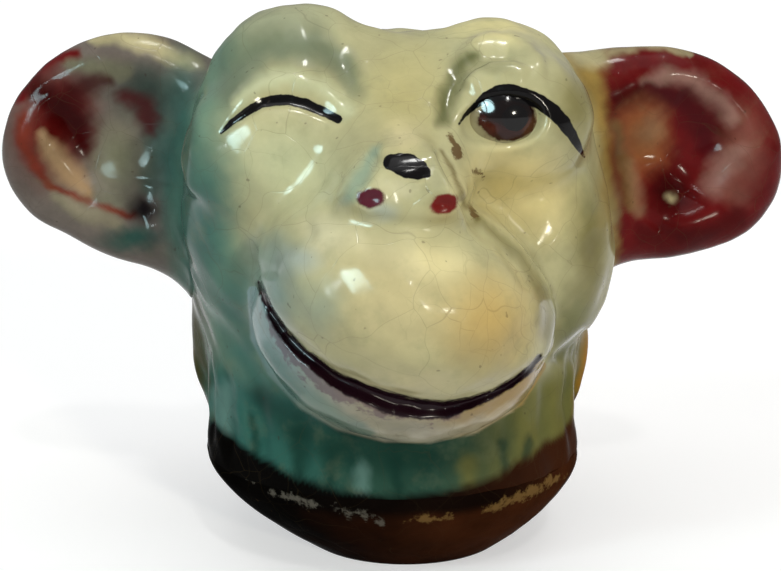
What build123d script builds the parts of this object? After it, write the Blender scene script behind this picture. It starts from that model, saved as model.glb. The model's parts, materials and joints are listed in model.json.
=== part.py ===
"""Glazed earthenware monkey head on a round foot, winking, made as the potter's pieces.

The head is pressed in two halves, a face half and a back half, that are luted together
over a hollow. The ears, the lower lip and the open eye are stuck on, and the head stands
on a turned foot with a locating spigot and a firing vent. The painted features are thin
patches of fired enamel on the glaze.

Frame: +Z up, the face looks along -Y, +X is to the right of someone facing it, and the
origin is the centre of the foot's underside. Left and right are as that person sees them.
"""

import os

from build123d import *

# Turns of the balls that masses are scaled from, which keep a ball's seam and poles out of joints
seam_behind = (0, 0, 90)
poles_front = (90, 0, 0)

# Skull: the main rounded mass of the head
skull_half_width = 18.8
skull_half_depth = 18.5
skull_half_height = 17.0
skull_centre_height = 33.0
skull_setback = 1.5

# Pot wall, the luting joints and the overrun of cuts
wall = 3.2
parting_setback = 4.0
cut_overrun = 2.0

# Brow domes, one over each eye, and the forehead between them
brow_half_width = 9.0
brow_half_depth = 11.0
brow_half_height = 8.8
forehead_half_width = 11.0
forehead_half_depth = 12.6
forehead_half_height = 8.8

# Cheeks
cheek_half_width = 8.5
cheek_half_depth = 11.6
cheek_half_height = 12.9

# Eyelid domes: the winking one is whole, the other one has an opening cut in it
lid_half_width = 7.8
lid_half_depth = 7.2
lid_half_height = 6.6

# Nose: its bridge, its tip and its two nostril wings
bridge_half_width = 6.2
bridge_half_depth = 11.0
bridge_half_height = 4.4
bridge_slope = 22.0
nose_half_width = 4.2
nose_half_depth = 3.9
nose_half_height = 3.2
wing_half_width = 2.5
wing_half_depth = 2.8
wing_half_height = 2.1

# Muzzle, and the lower lip that shows as a crescent under it
muzzle_half_width = 13.0
muzzle_half_depth = 12.8
muzzle_half_height = 8.85
muzzle_roll = 19.0
lip_half_width = 13.4
lip_half_depth = 11.6
lip_half_height = 10.8
lip_roll = 12.0
lip_seat = 1.4
mouth_gap = 1.5
mouth_corner_gap = 0.3

# Open eye: the ball, the painted ring, and the opening between the lids
eyeball_radius = 4.8
iris_radius = 2.45
pupil_radius = 1.25
eye_opening_half_width = 4.0
eye_opening_rise = 2.9
eye_opening_drop = 2.2

# Neck with its incised flutes
neck_radius = 18.4
neck_top_height = 26.0
flute_count = 26
flute_radius = 1.3
flute_depth = 0.45

# Nape, the swelling of the skull behind, and the hood of fur down the back of the head
nape_half_width = 21.7
nape_half_depth = 16.9
nape_half_height = 19.2
hood_half_width = 21.3
hood_half_depth = 14.5
hood_half_height = 20.3

# Foot
foot_height = 9.6
foot_shoulder_radius = 18.7
foot_shoulder_height = 8.9
foot_rest_radius = 10.0
foot_floor = 4.0
spigot_height = 3.0
spigot_wall = 2.0
spigot_clearance = 0.3
vent_radius = 4.0

# Ears: a blade with a hollow bowl, and a thick root along the side of the head
ear_half_width = 11.9
ear_half_thickness = 4.2
ear_half_height = 9.8
ear_bowl_half_width = 9.4
ear_bowl_half_depth = 5.5
ear_bowl_half_height = 7.6
ear_bowl_set_forward = 6.3
ear_root_half_width = 5.0
ear_root_half_height = 11.4
ear_turn = 8.0
ear_left_tilt = -28.0
ear_right_tilt = 30.0

# Fired enamel
enamel_thickness = 0.25
wink_line_width = 1.1
wink_line_rise = 2.6
lash_line_width = 1.1
lash_line_reach = 3.5
lash_line_drop = 3.0
nose_patch_half_width = 2.1
nose_patch_half_height = 1.3
nostril_spot_radius = 1.15

# Places of the masses, as shares of the skull's half sizes from its centre
brow_left_place_shares = (-0.47, -0.4, 0.6935)
brow_right_place_shares = (0.47, -0.4, 0.614)
forehead_place_shares = (0.016, -0.405, 0.547)
cheek_left_place_shares = (-0.638, -0.346, 0.029)
cheek_right_place_shares = (0.66, -0.384, -0.118)
closed_lid_place_shares = (-0.545, -0.77, 0.466)
open_lid_place_shares = (0.527, -0.778, 0.612)
eyeball_place_shares = (0.489, -0.87, 0.646)
bridge_place_shares = (0.01, -1.108, 0.447)
muzzle_place_shares = (0.016, -1.189, -0.218)
lip_place_shares = (0.0106, 0.0, -0.418)
nape_place_shares = (0.0, 0.155, -0.094)
hood_place_shares = (-0.005, 0.216, -0.229)
ear_left_place_shares = (-1.47, 0.162, 0.447)
ear_right_place_shares = (1.52, 0.162, 0.329)
ear_root_place_shares = (1.037, 0.162, 0.118)

# Places on the muzzle, as shares of its half sizes from its centre
nose_place_shares = (-0.015, -0.383, 1.186)
wing_left_place_shares = (-0.2315, -0.522, 1.069)
wing_right_place_shares = (0.2, -0.522, 1.028)

# Painted features, as shares of the half sizes of the lid or nose that carries them
wink_line_half_span_share = 0.66
wink_line_height_share = 0.4
pupil_shift_share = 0.14
nose_patch_height_share = 0.45
foot_swell_shares = (0.61, 0.45)

skull_half_sizes = (skull_half_width, skull_half_depth, skull_half_height)
skull_centre = (0, skull_setback, skull_centre_height)
muzzle_half_sizes = (muzzle_half_width, muzzle_half_depth, muzzle_half_height)


def place(shares, centre=skull_centre, half_sizes=skull_half_sizes):
    """A point at the given shares of a mass's half sizes from its centre; the skull's if none is named."""
    return tuple(c + s * h for c, s, h in zip(centre, shares, half_sizes))


muzzle_place = place(muzzle_place_shares)
nose_place = place(nose_place_shares, muzzle_place, muzzle_half_sizes)
wing_left_place = place(wing_left_place_shares, muzzle_place, muzzle_half_sizes)
wing_right_place = place(wing_right_place_shares, muzzle_place, muzzle_half_sizes)

# The lip is stuck on the front of the neck, so its place follows the neck's radius
lip_x, _, lip_z = place(lip_place_shares)
lip_place = (lip_x, lip_seat - neck_radius, lip_z)


def rounded_mass(half_width, half_depth, half_height, grow=0, turn=seam_behind):
    """An ellipsoid about the origin; grow adds to each half size, turn is that of its ball."""
    with BuildPart() as mass:
        Sphere(1, rotation=turn)
        scale(by=(half_width + grow, half_depth + grow, half_height + grow))
    return mass.part


def head_cavity():
    """The hollow inside both halves: the skull, the muzzle and the neck less the wall."""
    skull_hollow = rounded_mass(*skull_half_sizes, grow=-wall)
    muzzle_hollow = rounded_mass(*muzzle_half_sizes, grow=-wall)
    with BuildPart() as cavity:
        with Locations(skull_centre):
            add(skull_hollow)
        with Locations(Location(muzzle_place, (0, muzzle_roll, 0))):
            add(muzzle_hollow)
        with BuildSketch(Plane.XY.offset(foot_height - cut_overrun)):
            Circle(neck_radius - wall)
        extrude(amount=skull_centre_height - foot_height + cut_overrun)
    return cavity.part


def fluted_neck():
    """The neck column with incised upright flutes all round."""
    with BuildPart() as neck:
        with BuildSketch(Plane.XY.offset(foot_height)):
            Circle(neck_radius)
            with PolarLocations(neck_radius + flute_radius - flute_depth, flute_count):
                Circle(flute_radius, mode=Mode.SUBTRACT)
        extrude(amount=neck_top_height - foot_height)
    return neck.part


skull = rounded_mass(*skull_half_sizes)
brow = rounded_mass(brow_half_width, brow_half_depth, brow_half_height)
forehead = rounded_mass(forehead_half_width, forehead_half_depth, forehead_half_height)
cheek = rounded_mass(cheek_half_width, cheek_half_depth, cheek_half_height)
lid = rounded_mass(lid_half_width, lid_half_depth, lid_half_height)
lid_skin = rounded_mass(lid_half_width, lid_half_depth, lid_half_height, grow=enamel_thickness)
bridge = rounded_mass(bridge_half_width, bridge_half_depth, bridge_half_height)
nose = rounded_mass(nose_half_width, nose_half_depth, nose_half_height)
wing = rounded_mass(wing_half_width, wing_half_depth, wing_half_height)
muzzle = rounded_mass(*muzzle_half_sizes)
nape = rounded_mass(nape_half_width, nape_half_depth, nape_half_height)
hood = rounded_mass(hood_half_width, hood_half_depth, hood_half_height)
neck_column = fluted_neck()
cavity_form = head_cavity()

face_masses = [
    (brow, place(brow_left_place_shares)),
    (brow, place(brow_right_place_shares)),
    (forehead, place(forehead_place_shares)),
    (cheek, place(cheek_left_place_shares)),
    (cheek, place(cheek_right_place_shares)),
    (lid, place(closed_lid_place_shares)),
    (lid, place(open_lid_place_shares)),
    (nose, nose_place),
    (wing, wing_left_place),
    (wing, wing_right_place),
]

# Solid form of the whole head before it is hollowed and parted
with BuildPart() as head_form:
    add(neck_column)
    with Locations(skull_centre):
        add(skull)
    for mass, mass_place in face_masses:
        with Locations(mass_place):
            add(mass)
    with Locations(Location(place(bridge_place_shares), (bridge_slope, 0, 0))):
        add(bridge)
    with Locations(Location(muzzle_place, (0, muzzle_roll, 0))):
        add(muzzle)
    with Locations(place(nape_place_shares)):
        add(nape)
    with Locations(place(hood_place_shares)):
        add(hood)
    split(bisect_by=Plane.XY.offset(foot_height), keep=Keep.TOP)

parting_plane = Plane.XZ.offset(-parting_setback)
front_reach = muzzle_half_depth - muzzle_place[1] + cut_overrun
eyeball_place = place(eyeball_place_shares)
eye_x, eye_y, eye_z = eyeball_place
eye_inner_corner = (eye_x - eye_opening_half_width, eye_z)
eye_outer_corner = (eye_x + eye_opening_half_width, eye_z)

# Front half of the head, with the socket of the open eye and the opening between its lids
with BuildPart() as face_shell:
    add(head_form.part)
    add(cavity_form, mode=Mode.SUBTRACT)
    split(bisect_by=parting_plane, keep=Keep.TOP)
    with BuildSketch(Plane.XZ.offset(-eye_y)):
        with BuildLine():
            ThreePointArc(eye_inner_corner, (eye_x, eye_z + eye_opening_rise), eye_outer_corner)
            ThreePointArc(eye_outer_corner, (eye_x, eye_z - eye_opening_drop), eye_inner_corner)
        make_face()
    extrude(amount=front_reach + eye_y, mode=Mode.SUBTRACT)
    with Locations(eyeball_place):
        Sphere(eyeball_radius, mode=Mode.SUBTRACT)

# Back half of the head, with the hood of fur
with BuildPart() as back_shell:
    add(head_form.part)
    add(cavity_form, mode=Mode.SUBTRACT)
    split(bisect_by=parting_plane, keep=Keep.BOTTOM)

# Lower lip, a crescent under the muzzle with the mouth open above it
lip_mass = rounded_mass(lip_half_width, lip_half_depth, lip_half_height)
mouth_mass = rounded_mass(
    muzzle_half_width + mouth_corner_gap,
    muzzle_half_depth + mouth_corner_gap,
    muzzle_half_height + mouth_gap,
)
with BuildPart() as lower_lip:
    with Locations(Location(lip_place, (0, lip_roll, 0))):
        add(lip_mass)
    add(head_form.part, mode=Mode.SUBTRACT)
    with Locations(Location(muzzle_place, (0, muzzle_roll, 0))):
        add(mouth_mass, mode=Mode.SUBTRACT)

# Open eye, a ball pressed into its socket under the lids
with BuildPart() as eyeball:
    with Locations(eyeball_place):
        Sphere(eyeball_radius)


def ear(blade_place, tilt, side):
    """One ear, cut to the side of the head; side is -1 on the left and 1 on the right."""
    root_x, root_y, root_z = place(ear_root_place_shares)
    with BuildPart() as piece:
        with Locations(Location(blade_place, (0, tilt, side * ear_turn))):
            add(ear_cup)
        with Locations((side * root_x, root_y, root_z)):
            add(ear_root)
        add(head_form.part, mode=Mode.SUBTRACT)
    return piece.part


ear_root = rounded_mass(ear_root_half_width, ear_half_thickness, ear_root_half_height)
ear_bowl = rounded_mass(ear_bowl_half_width, ear_bowl_half_depth, ear_bowl_half_height, turn=poles_front)
ear_blade = rounded_mass(ear_half_width, ear_half_thickness, ear_half_height, turn=poles_front)
with BuildPart() as ear_blank:
    add(ear_blade)
    with Locations((0, -ear_bowl_set_forward, 0)):
        add(ear_bowl, mode=Mode.SUBTRACT)
ear_cup = ear_blank.part
ear_left = ear(place(ear_left_place_shares), ear_left_tilt, -1)
ear_right = ear(place(ear_right_place_shares), ear_right_tilt, 1)

# Turned foot: its spigot centres the neck, and the vent in its floor lets the kiln gases out
spigot_radius = neck_radius - wall - spigot_clearance
with BuildPart() as foot:
    with BuildSketch(Plane.XZ):
        with BuildLine():
            ThreePointArc(
                (foot_rest_radius, 0),
                (
                    foot_rest_radius + foot_swell_shares[0] * (foot_shoulder_radius - foot_rest_radius),
                    foot_swell_shares[1] * foot_shoulder_height,
                ),
                (foot_shoulder_radius, foot_shoulder_height),
            )
            Polyline(
                (foot_shoulder_radius, foot_shoulder_height),
                (neck_radius, foot_height),
                (spigot_radius, foot_height),
                (spigot_radius, foot_height + spigot_height),
                (spigot_radius - spigot_wall, foot_height + spigot_height),
                (spigot_radius - spigot_wall, foot_floor),
                (vent_radius, foot_floor),
                (vent_radius, 0),
                (foot_rest_radius, 0),
            )
        make_face()
    revolve(axis=Axis.Z)

# Enamel is cut from the carrying surface grown by its thickness, so it lies on the glaze
wink_x, wink_lid_y, wink_lid_z = place(closed_lid_place_shares)
wink_half_span = wink_line_half_span_share * lid_half_width
wink_z = wink_lid_z + wink_line_height_share * lid_half_height
with BuildPart() as wink_line:
    with BuildSketch(Plane.XZ.offset(-wink_lid_y)):
        with BuildLine():
            wink_start = (wink_x - wink_half_span, wink_z)
            wink_end = (wink_x + wink_half_span, wink_z)
            ThreePointArc(wink_start, (wink_x, wink_z + wink_line_rise), wink_end)
            ThreePointArc(wink_end, (wink_x, wink_z + wink_line_rise - wink_line_width), wink_start)
        make_face()
    extrude(amount=front_reach + wink_lid_y)
    with Locations(place(closed_lid_place_shares)):
        add(lid_skin, mode=Mode.INTERSECT)
    add(head_form.part, mode=Mode.SUBTRACT)

open_lid_place = place(open_lid_place_shares)
lash_tail = (eye_outer_corner[0] + lash_line_reach, eye_z - lash_line_drop)
with BuildPart() as lash_line:
    with BuildSketch(Plane.XZ.offset(-open_lid_place[1])):
        with BuildLine():
            lash_top = eye_z + eye_opening_rise
            ThreePointArc(eye_inner_corner, (eye_x, lash_top + lash_line_width), lash_tail)
            ThreePointArc(lash_tail, (eye_x, lash_top), eye_inner_corner)
        make_face()
    extrude(amount=front_reach + open_lid_place[1])
    with Locations(open_lid_place):
        add(lid_skin, mode=Mode.INTERSECT)
    add(head_form.part, mode=Mode.SUBTRACT)

pupil_place = (eye_x + pupil_shift_share * iris_radius, eye_z)
with BuildPart() as iris:
    with BuildSketch(Plane.XZ.offset(-eye_y)):
        with Locations((eye_x, eye_z)):
            Circle(iris_radius)
        with Locations(pupil_place):
            Circle(pupil_radius, mode=Mode.SUBTRACT)
    extrude(amount=front_reach + eye_y)
    with Locations(eyeball_place):
        Sphere(eyeball_radius + enamel_thickness, mode=Mode.INTERSECT)
        Sphere(eyeball_radius, mode=Mode.SUBTRACT)
    add(face_shell.part, mode=Mode.SUBTRACT)

with BuildPart() as pupil:
    with BuildSketch(Plane.XZ.offset(-eye_y)):
        with Locations(pupil_place):
            Circle(pupil_radius)
    extrude(amount=front_reach + eye_y)
    with Locations(eyeball_place):
        Sphere(eyeball_radius + enamel_thickness, mode=Mode.INTERSECT)
        Sphere(eyeball_radius, mode=Mode.SUBTRACT)

nose_x, nose_y, nose_z = nose_place
nose_skin = rounded_mass(nose_half_width, nose_half_depth, nose_half_height, grow=enamel_thickness)
with BuildPart() as nose_patch:
    with BuildSketch(Plane.XZ.offset(-nose_y)):
        with Locations((nose_x, nose_z + nose_patch_height_share * nose_half_height)):
            Ellipse(nose_patch_half_width, nose_patch_half_height)
    extrude(amount=front_reach + nose_y)
    with Locations(nose_place):
        add(nose_skin, mode=Mode.INTERSECT)
    add(head_form.part, mode=Mode.SUBTRACT)

wing_skin = rounded_mass(wing_half_width, wing_half_depth, wing_half_height, grow=enamel_thickness)
nostril_spots = []
for wing_place in (wing_left_place, wing_right_place):
    with BuildPart() as nostril_spot:
        with BuildSketch(Plane.XZ.offset(-wing_place[1])):
            with Locations((wing_place[0], wing_place[2])):
                Circle(nostril_spot_radius)
        extrude(amount=front_reach + wing_place[1])
        with Locations(wing_place):
            add(wing_skin, mode=Mode.INTERSECT)
        add(head_form.part, mode=Mode.SUBTRACT)
    nostril_spots.append(nostril_spot.part)

pieces = {
    "face_shell": face_shell.part,
    "back_shell": back_shell.part,
    "lower_lip": lower_lip.part,
    "eyeball": eyeball.part,
    "ear_left": ear_left,
    "ear_right": ear_right,
    "foot": foot.part,
    "wink_line": wink_line.part,
    "lash_line": lash_line.part,
    "iris": iris.part,
    "pupil": pupil.part,
    "nose_patch": nose_patch.part,
    "nostril_spots": Compound(children=nostril_spots),
}

os.makedirs("parts", exist_ok=True)
for name, piece in pieces.items():
    piece.label = name
    export_step(piece, f"parts/{name}.step")
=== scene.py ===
import json
import math
from functools import partial

import bmesh
import bpy
import numpy as np
from bpy.props import FloatProperty, FloatVectorProperty, IntProperty, PointerProperty
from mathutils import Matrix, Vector


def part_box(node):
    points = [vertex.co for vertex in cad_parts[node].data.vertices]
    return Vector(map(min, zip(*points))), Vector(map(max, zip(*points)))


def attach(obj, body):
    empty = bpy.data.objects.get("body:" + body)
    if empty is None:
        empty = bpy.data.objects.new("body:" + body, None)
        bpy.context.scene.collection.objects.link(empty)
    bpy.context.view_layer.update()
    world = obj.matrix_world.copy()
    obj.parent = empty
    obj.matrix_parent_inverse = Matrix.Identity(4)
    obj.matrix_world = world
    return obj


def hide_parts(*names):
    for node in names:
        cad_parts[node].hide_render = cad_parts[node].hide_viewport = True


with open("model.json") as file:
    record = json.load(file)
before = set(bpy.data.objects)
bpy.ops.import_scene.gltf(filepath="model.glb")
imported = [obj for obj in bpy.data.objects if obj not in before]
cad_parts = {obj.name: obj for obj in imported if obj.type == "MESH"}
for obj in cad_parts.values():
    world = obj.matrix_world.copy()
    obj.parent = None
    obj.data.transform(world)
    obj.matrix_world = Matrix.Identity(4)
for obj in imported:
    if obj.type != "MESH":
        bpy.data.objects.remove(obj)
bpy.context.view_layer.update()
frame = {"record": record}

bl_info = {
    "name": "Monkey Head Figurine",
    "version": (1, 0, 0),
    "blender": (4, 5, 0),
    "location": "View3D > Sidebar > Figurine",
    "description": "Models and glazes a small ceramic monkey head around its CAD frame",
    "category": "Object",
}

# Shapes are worked out in millimetres and written to the meshes in metres.
MM = 0.001

# The photograph's view: its frame in pixels, and the camera in millimetres and degrees.
IMAGE_WIDTH = 781
IMAGE_HEIGHT = 571
VIEW_ASIDE = -6.0
VIEW_DISTANCE = 160.0
VIEW_ABOVE_NECK = 48.6
VIEW_PITCH = 11.5
VIEW_YAW = 2.1
VIEW_FOCAL_PIXELS = 1635.0
SENSOR_WIDTH = 36.0
# Pixels in a millimetre on the face, by which the edges of painted marks are measured
PIXELS_PER_MM = 11.9


def node_box(name):
    """Lowest and highest corners of a CAD node, in millimetres."""
    low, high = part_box(name)
    return np.array(low) / MM, np.array(high) / MM


EYE_LOW, EYE_HIGH = node_box("eyeball")
EYE_CENTRE = (EYE_LOW + EYE_HIGH) / 2
EYE_RADIUS = (EYE_HIGH[0] - EYE_LOW[0]) / 2
# Middle of the gap between the lids, just in front of the ball
EYE_OPENING_PLACE = EYE_CENTRE + np.array((-0.3, -EYE_RADIUS - 1.2, 0.1))
PARTING = node_box("back_shell")[0][1]
NECK_BOTTOM = node_box("face_shell")[0][2]
FOOT_WIDEST = node_box("foot")[1][0]
NECK_PLACE = np.array((0.0, 0.0, NECK_BOTTOM))
VIEW_PLACE = NECK_PLACE + np.array((VIEW_ASIDE, -VIEW_DISTANCE, VIEW_ABOVE_NECK))


# Settings that a user may change

def linear(code):
    """Linear colour of a six-digit display colour code."""
    parts = [int(code[k:k + 2], 16) / 255 for k in (0, 2, 4)]
    return tuple(c / 12.92 if c <= 0.04045 else ((c + 0.055) / 1.055) ** 2.4 for c in parts)


def half_size(label, across, deep, tall):
    """A property with the three half sizes of a rounded mass, given in millimetres."""
    return FloatVectorProperty(
        name=label, description=label + ": half width, half depth and half height",
        size=3, subtype="XYZ", unit="LENGTH", default=(across * MM, deep * MM, tall * MM))


def length(label, description, value):
    """A property with one length, given in millimetres."""
    return FloatProperty(name=label, description=description, unit="LENGTH", default=value * MM)


def paint(label, code):
    """A property with one glaze or enamel colour."""
    return FloatVectorProperty(
        name=label, description="Colour of the " + label.lower(),
        size=3, subtype="COLOR", min=0.0, max=1.0, default=linear(code))


class FigurineSizes(bpy.types.PropertyGroup):
    """Sizes of the masses that the head is modelled from."""
    skull: half_size("Skull", 18.8, 18.5, 17.0)
    hood: half_size("Fur hood", 21.0, 14.5, 20.3)
    fur_skirt: half_size("Fur beside the neck", 20.6, 9.0, 14.0)
    brow: half_size("Brow", 9.0, 11.0, 8.8)
    forehead: half_size("Forehead", 8.4, 10.5, 9.8)
    cheek: half_size("Cheek", 8.3, 10.5, 11.8)
    temple: half_size("Temple", 7.0, 9.0, 8.0)
    closed_lid: half_size("Closed eyelid", 9.0, 6.6, 7.8)
    lid: half_size("Eyelid over the open eye", 7.8, 7.2, 6.6)
    bridge: half_size("Bridge of the nose", 6.2, 11.0, 4.4)
    nose: half_size("Tip of the nose", 4.2, 3.9, 3.2)
    wing: half_size("Wing of the nose", 2.5, 2.8, 2.1)
    muzzle: half_size("Muzzle", 13.0, 12.8, 8.85)
    lip: half_size("Lower lip", 13.4, 11.6, 10.8)
    ear_blade: half_size("Ear blade", 11.9, 4.2, 9.8)
    ear_bowl: half_size("Ear bowl", 9.4, 5.5, 7.6)
    ear_lobe: half_size("Ear lobe", 6.5, 3.2, 4.0)
    eye_opening: half_size("Eye opening", 3.7, 3.6, 2.3)
    neck_radius: length("Neck radius", "Radius of the fluted neck", 18.4)
    flute_depth: length("Flute depth", "Depth of the flutes round the neck", 0.32)
    flutes: IntProperty(name="Flutes", description="Number of flutes round the neck", default=26)
    mouth_depth: length("Mouth depth", "How deep the mouth is cut under the muzzle", 1.7)


class FigurineColours(bpy.types.PropertyGroup):
    """Colours of the glazes and enamels."""
    clay: paint("Cream glaze", "B2AE85")
    brow: paint("Right brow top", "D6CC94")
    brow_green: paint("Left brow top", "9CA083")
    forehead: paint("Forehead", "B4AA75")
    bridge: paint("Bridge of the nose", "DCD09C")
    # Grey-green of the closed eye's socket, darkened as painted shade in the hollow
    socket: paint("Closed eye's socket", "66725C")
    fold: paint("Shadowed fold of the open eye", "5E613C")
    eyelid: paint("Closed eyelid", "BCC09A")
    pale: paint("Pale cheek", "CFCBA8")
    teal: paint("Teal wash", "37695F")
    # Deep teal glaze, laid darker as painted shade at the ear roots and the left cheek's edge
    deep_teal_and_shade: paint("Deep teal wash", "264A43")
    edge_teal: paint("Left edge of the face", "66816D")
    nose_teal: paint("Hollow beside the nose", "8C9F88")
    pool: paint("Pooled blue glaze", "A7B6B2")
    # Olive-brown in the creases: stain, and painted shade in the creases
    crease_stain_and_shade: paint("Stain and painted shade in the creases", "6A5C36")
    muzzle: paint("Muzzle", "C2B688")
    muzzle_shade: paint("Left of the muzzle", "7B9389")
    # Warm right of the muzzle: glaze, and painted warm light falling from the right
    muzzle_warm_glaze_and_light: paint("Right of the muzzle", "C0A05C")
    muzzle_under: paint("Underside of the muzzle", "C2B88E")
    # Warm cream of the right cheek: glaze, and painted warm light falling from the right
    cheek_warm_glaze_and_light: paint("Right cheek", "D8C88E")
    # Olive glaze, darkened as painted shade where the right cheek turns away and in its crease
    cheek_olive_and_shade: paint("Olive edge of the right cheek", "6C6433")
    # Dark green of the low right cheek: painted shade above the crease to the neck
    cheek_low_shade: paint("Low right cheek", "66683E")
    root_tan: paint("Root of the right ear", "8E763F")
    neck_dark: paint("Shadow under the lip", "15332B")
    # Green glaze of the neck's middle, darkened as painted shade under the muzzle and lip
    neck_green_and_shade: paint("Middle of the neck", "2C4A3E")
    # Olive of the neck's right: glaze, and painted warm light falling from the right
    neck_olive_and_warm_light: paint("Right of the neck", "6C6A3A")
    drip: paint("Pale drips on the neck", "66887F")
    # Dark green in the flutes' grooves: glaze, and painted shade in the grooves
    flute_dark_and_shade: paint("Dark of the flutes", "1E443C")
    lip_cool: paint("Left of the lip", "7E9694")
    lip_pale: paint("Middle of the lip", "9C957F")
    # Peach of the lip's right: glaze, and painted warm light falling from the right
    lip_peach_and_warm_light: paint("Right of the lip", "9E8452")
    # Pale band along the lip's lower rim: painted highlight
    lip_rim_highlight: paint("Rim of the lip", "CBC5B0")
    ochre: paint("Ochre fur", "96680F")
    fur_dark: paint("Dark of the fur", "4A2C0C")
    fur_shade: paint("Greenish edge of the fur", "3A3810")
    crimson: paint("Ear crimson", "5E1112")
    deep_crimson: paint("Deep ear crimson", "340303")
    rust: paint("Ear rust", "5A1A10")
    ear_rust: paint("Ear orange rust", "6E2A1C")
    mauve: paint("Ear mauve", "7A4A40")
    plum: paint("Ear plum", "460B10")
    ear_grey: paint("Ear rim grey", "6C635C")
    # Cream of the left ear's cup, dulled as painted shade of the bowl
    ear_cream_and_shade: paint("Ear cream", "6C6B57")
    ear_tan: paint("Ear tan", "94795A")
    ear_buff: paint("Ear buff", "827A66")
    ear_top: paint("Ear top cream", "A9A07A")
    ear_orange: paint("Ear orange", "9A623A")
    ear_pale: paint("Ear pale mauve", "967268")
    ear_slate: paint("Ear slate", "3C4A44")
    ear_pit: paint("Pit of the ear", "0C0508")
    black: paint("Black enamel", "0C0A0B")
    mouth: paint("Mouth paint", "1C0A12")
    mouth_stain: paint("Thin mouth paint", "5B3B50")
    maroon: paint("Left nostril enamel", "521E2A")
    red: paint("Right nostril enamel", "6A1712")
    iris: paint("Iris enamel", "2C100A")
    iris_red: paint("Red of the iris", "42160F")
    iris_brown: paint("Brown of the iris", "4E2C18")
    # Near-black top of the iris: enamel, and painted shadow of the upper lid
    iris_dark_and_lid_shadow: paint("Dark of the iris", "0E0808")
    sclera: paint("White of the eye", "9A9272")
    chip: paint("Chipped clay", "5E4426")
    foot: paint("Foot glaze", "080706")
    # Warmer brown at the foot's right: glaze, and painted sheen
    foot_warm_and_sheen: paint("Warm side of the foot", "3E2010")
    # Pale and tan flecks along the foot's shoulder: worn glaze, and painted highlight on the shoulder
    scratch: paint("Scratches and painted highlight on the foot", "6E6A60")
    streak_and_glint: paint("Worn streaks and painted highlight on the foot", "7E6238")


def sizes():
    """Sizes as they are set in the scene."""
    return bpy.context.scene.figurine_sizes


def colours():
    """Colours as they are set in the scene."""
    return bpy.context.scene.figurine_colours


# Rounded masses and how they join, in millimetres

def smooth(start, end, values):
    """Soft step from 0 at start to 1 at end."""
    t = np.clip((values - start) / (end - start), 0, 1)
    return t * t * (3 - 2 * t)


def turned(a, b, angle):
    """Two coordinates turned by an angle in degrees."""
    c, s = math.cos(math.radians(angle)), math.sin(math.radians(angle))
    return c * a - s * b, s * a + c * b


def rounded(points, centre, half, roll=0.0, pitch=0.0):
    """About the distance to an ellipsoid, negative inside it."""
    q = points - np.array(centre)
    if roll:
        q[:, 0], q[:, 2] = turned(q[:, 0], q[:, 2], roll)
    if pitch:
        q[:, 1], q[:, 2] = turned(q[:, 1], q[:, 2], -pitch)
    half = np.array(half)
    near = np.linalg.norm(q / half, axis=1)
    slope = np.linalg.norm(q / (half * half), axis=1)
    return near * (near - 1) / np.maximum(slope, 1e-9)


def soft_join(a, b, reach):
    """Union of two masses with a fillet about as wide as reach."""
    h = np.clip(0.5 + 0.5 * (b - a) / reach, 0, 1)
    return b + (a - b) * h - reach * h * (1 - h)


def soft_cut(a, b, reach):
    """The first mass less the second, with a rounded edge."""
    return -soft_join(-a, b, reach)


# Each mass: the size it takes, its centre above the neck's bottom, and its roll and pitch in degrees
MASS_PLACES = {
    "skull": ("skull", (0.0, 1.5, 23.4), 0, 0),
    "hood": ("hood", (-0.1, 5.5, 19.5), 0, 0),
    "fur_skirt": ("fur_skirt", (0.15, 6.0, 8.0), 0, 0),
    "brow_left": ("brow", (-8.84, -5.9, 35.2), 0, 0),
    "brow_right": ("brow", (8.84, -5.9, 33.85), 0, 0),
    "forehead": ("forehead", (0.3, -7.57, 31.3), 0, 0),
    "cheek_left": ("cheek", (-11.75, -6.46, 24.4), 0, 0),
    "cheek_right": ("cheek", (12.6, -6.46, 21.25), 0, 0),
    "temple_left": ("temple", (-11.3, -5.0, 30.5), 0, 0),
    "temple_right": ("temple", (11.6, -5.0, 28.6), 0, 0),
    "lid_left": ("closed_lid", (-10.25, -13.3, 30.6), 0, 0),
    "lid_right": ("lid", (9.91, -12.89, 33.8), 0, 0),
    "bridge": ("bridge", (0.19, -19.0, 31.0), 0, 22),
    "nose": ("nose", (0.1, -25.4, 30.2), 0, 0),
    "wing_left": ("wing", (-2.71, -27.18, 29.15), 0, 0),
    "wing_right": ("wing", (2.9, -27.18, 28.8), 0, 0),
    "muzzle": ("muzzle", (0.3, -20.5, 19.7), 19, 0),
    "lip": ("lip", (0.2, -17.0, 16.3), 12, 0),
}
# Width of the fillet where each mass joins those before it
BACK_JOINS = {"hood": 5.0, "fur_skirt": 3.0}
FACE_JOINS = {"cheek_left": 3.0, "cheek_right": 2.4, "temple_left": 3.0, "temple_right": 3.0,
              "brow_left": 3.0, "brow_right": 3.0, "forehead": 3.0, "lid_left": 1.6, "lid_right": 1.6,
              "bridge": 4.0, "lip": 1.6}
NECK_JOIN = 2.5
WINGS_JOIN = 1.0
NOSE_TIP_JOIN = 1.2
NOSE_JOIN = 1.8
EYE_RIM_ROUND = 0.6
# The muzzle joins more widely above the mouth, which starts this far below its middle
MUZZLE_JOIN = 1.0
MUZZLE_TOP_JOIN = 2.2
MUZZLE_UNDER = (-0.5, -3.5)

# Heights above the neck's bottom: its hidden top, the end of its flare, and where its flutes run out
NECK_TOP = 16.4
NECK_FLARE = 4.0
FLUTE_START = 0.2
FLUTE_FADE = 7.0
FLUTE_TOP = 12.0
# The head's field ends below the neck, where the mesh is cut flat
HEAD_END = -2.0


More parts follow.
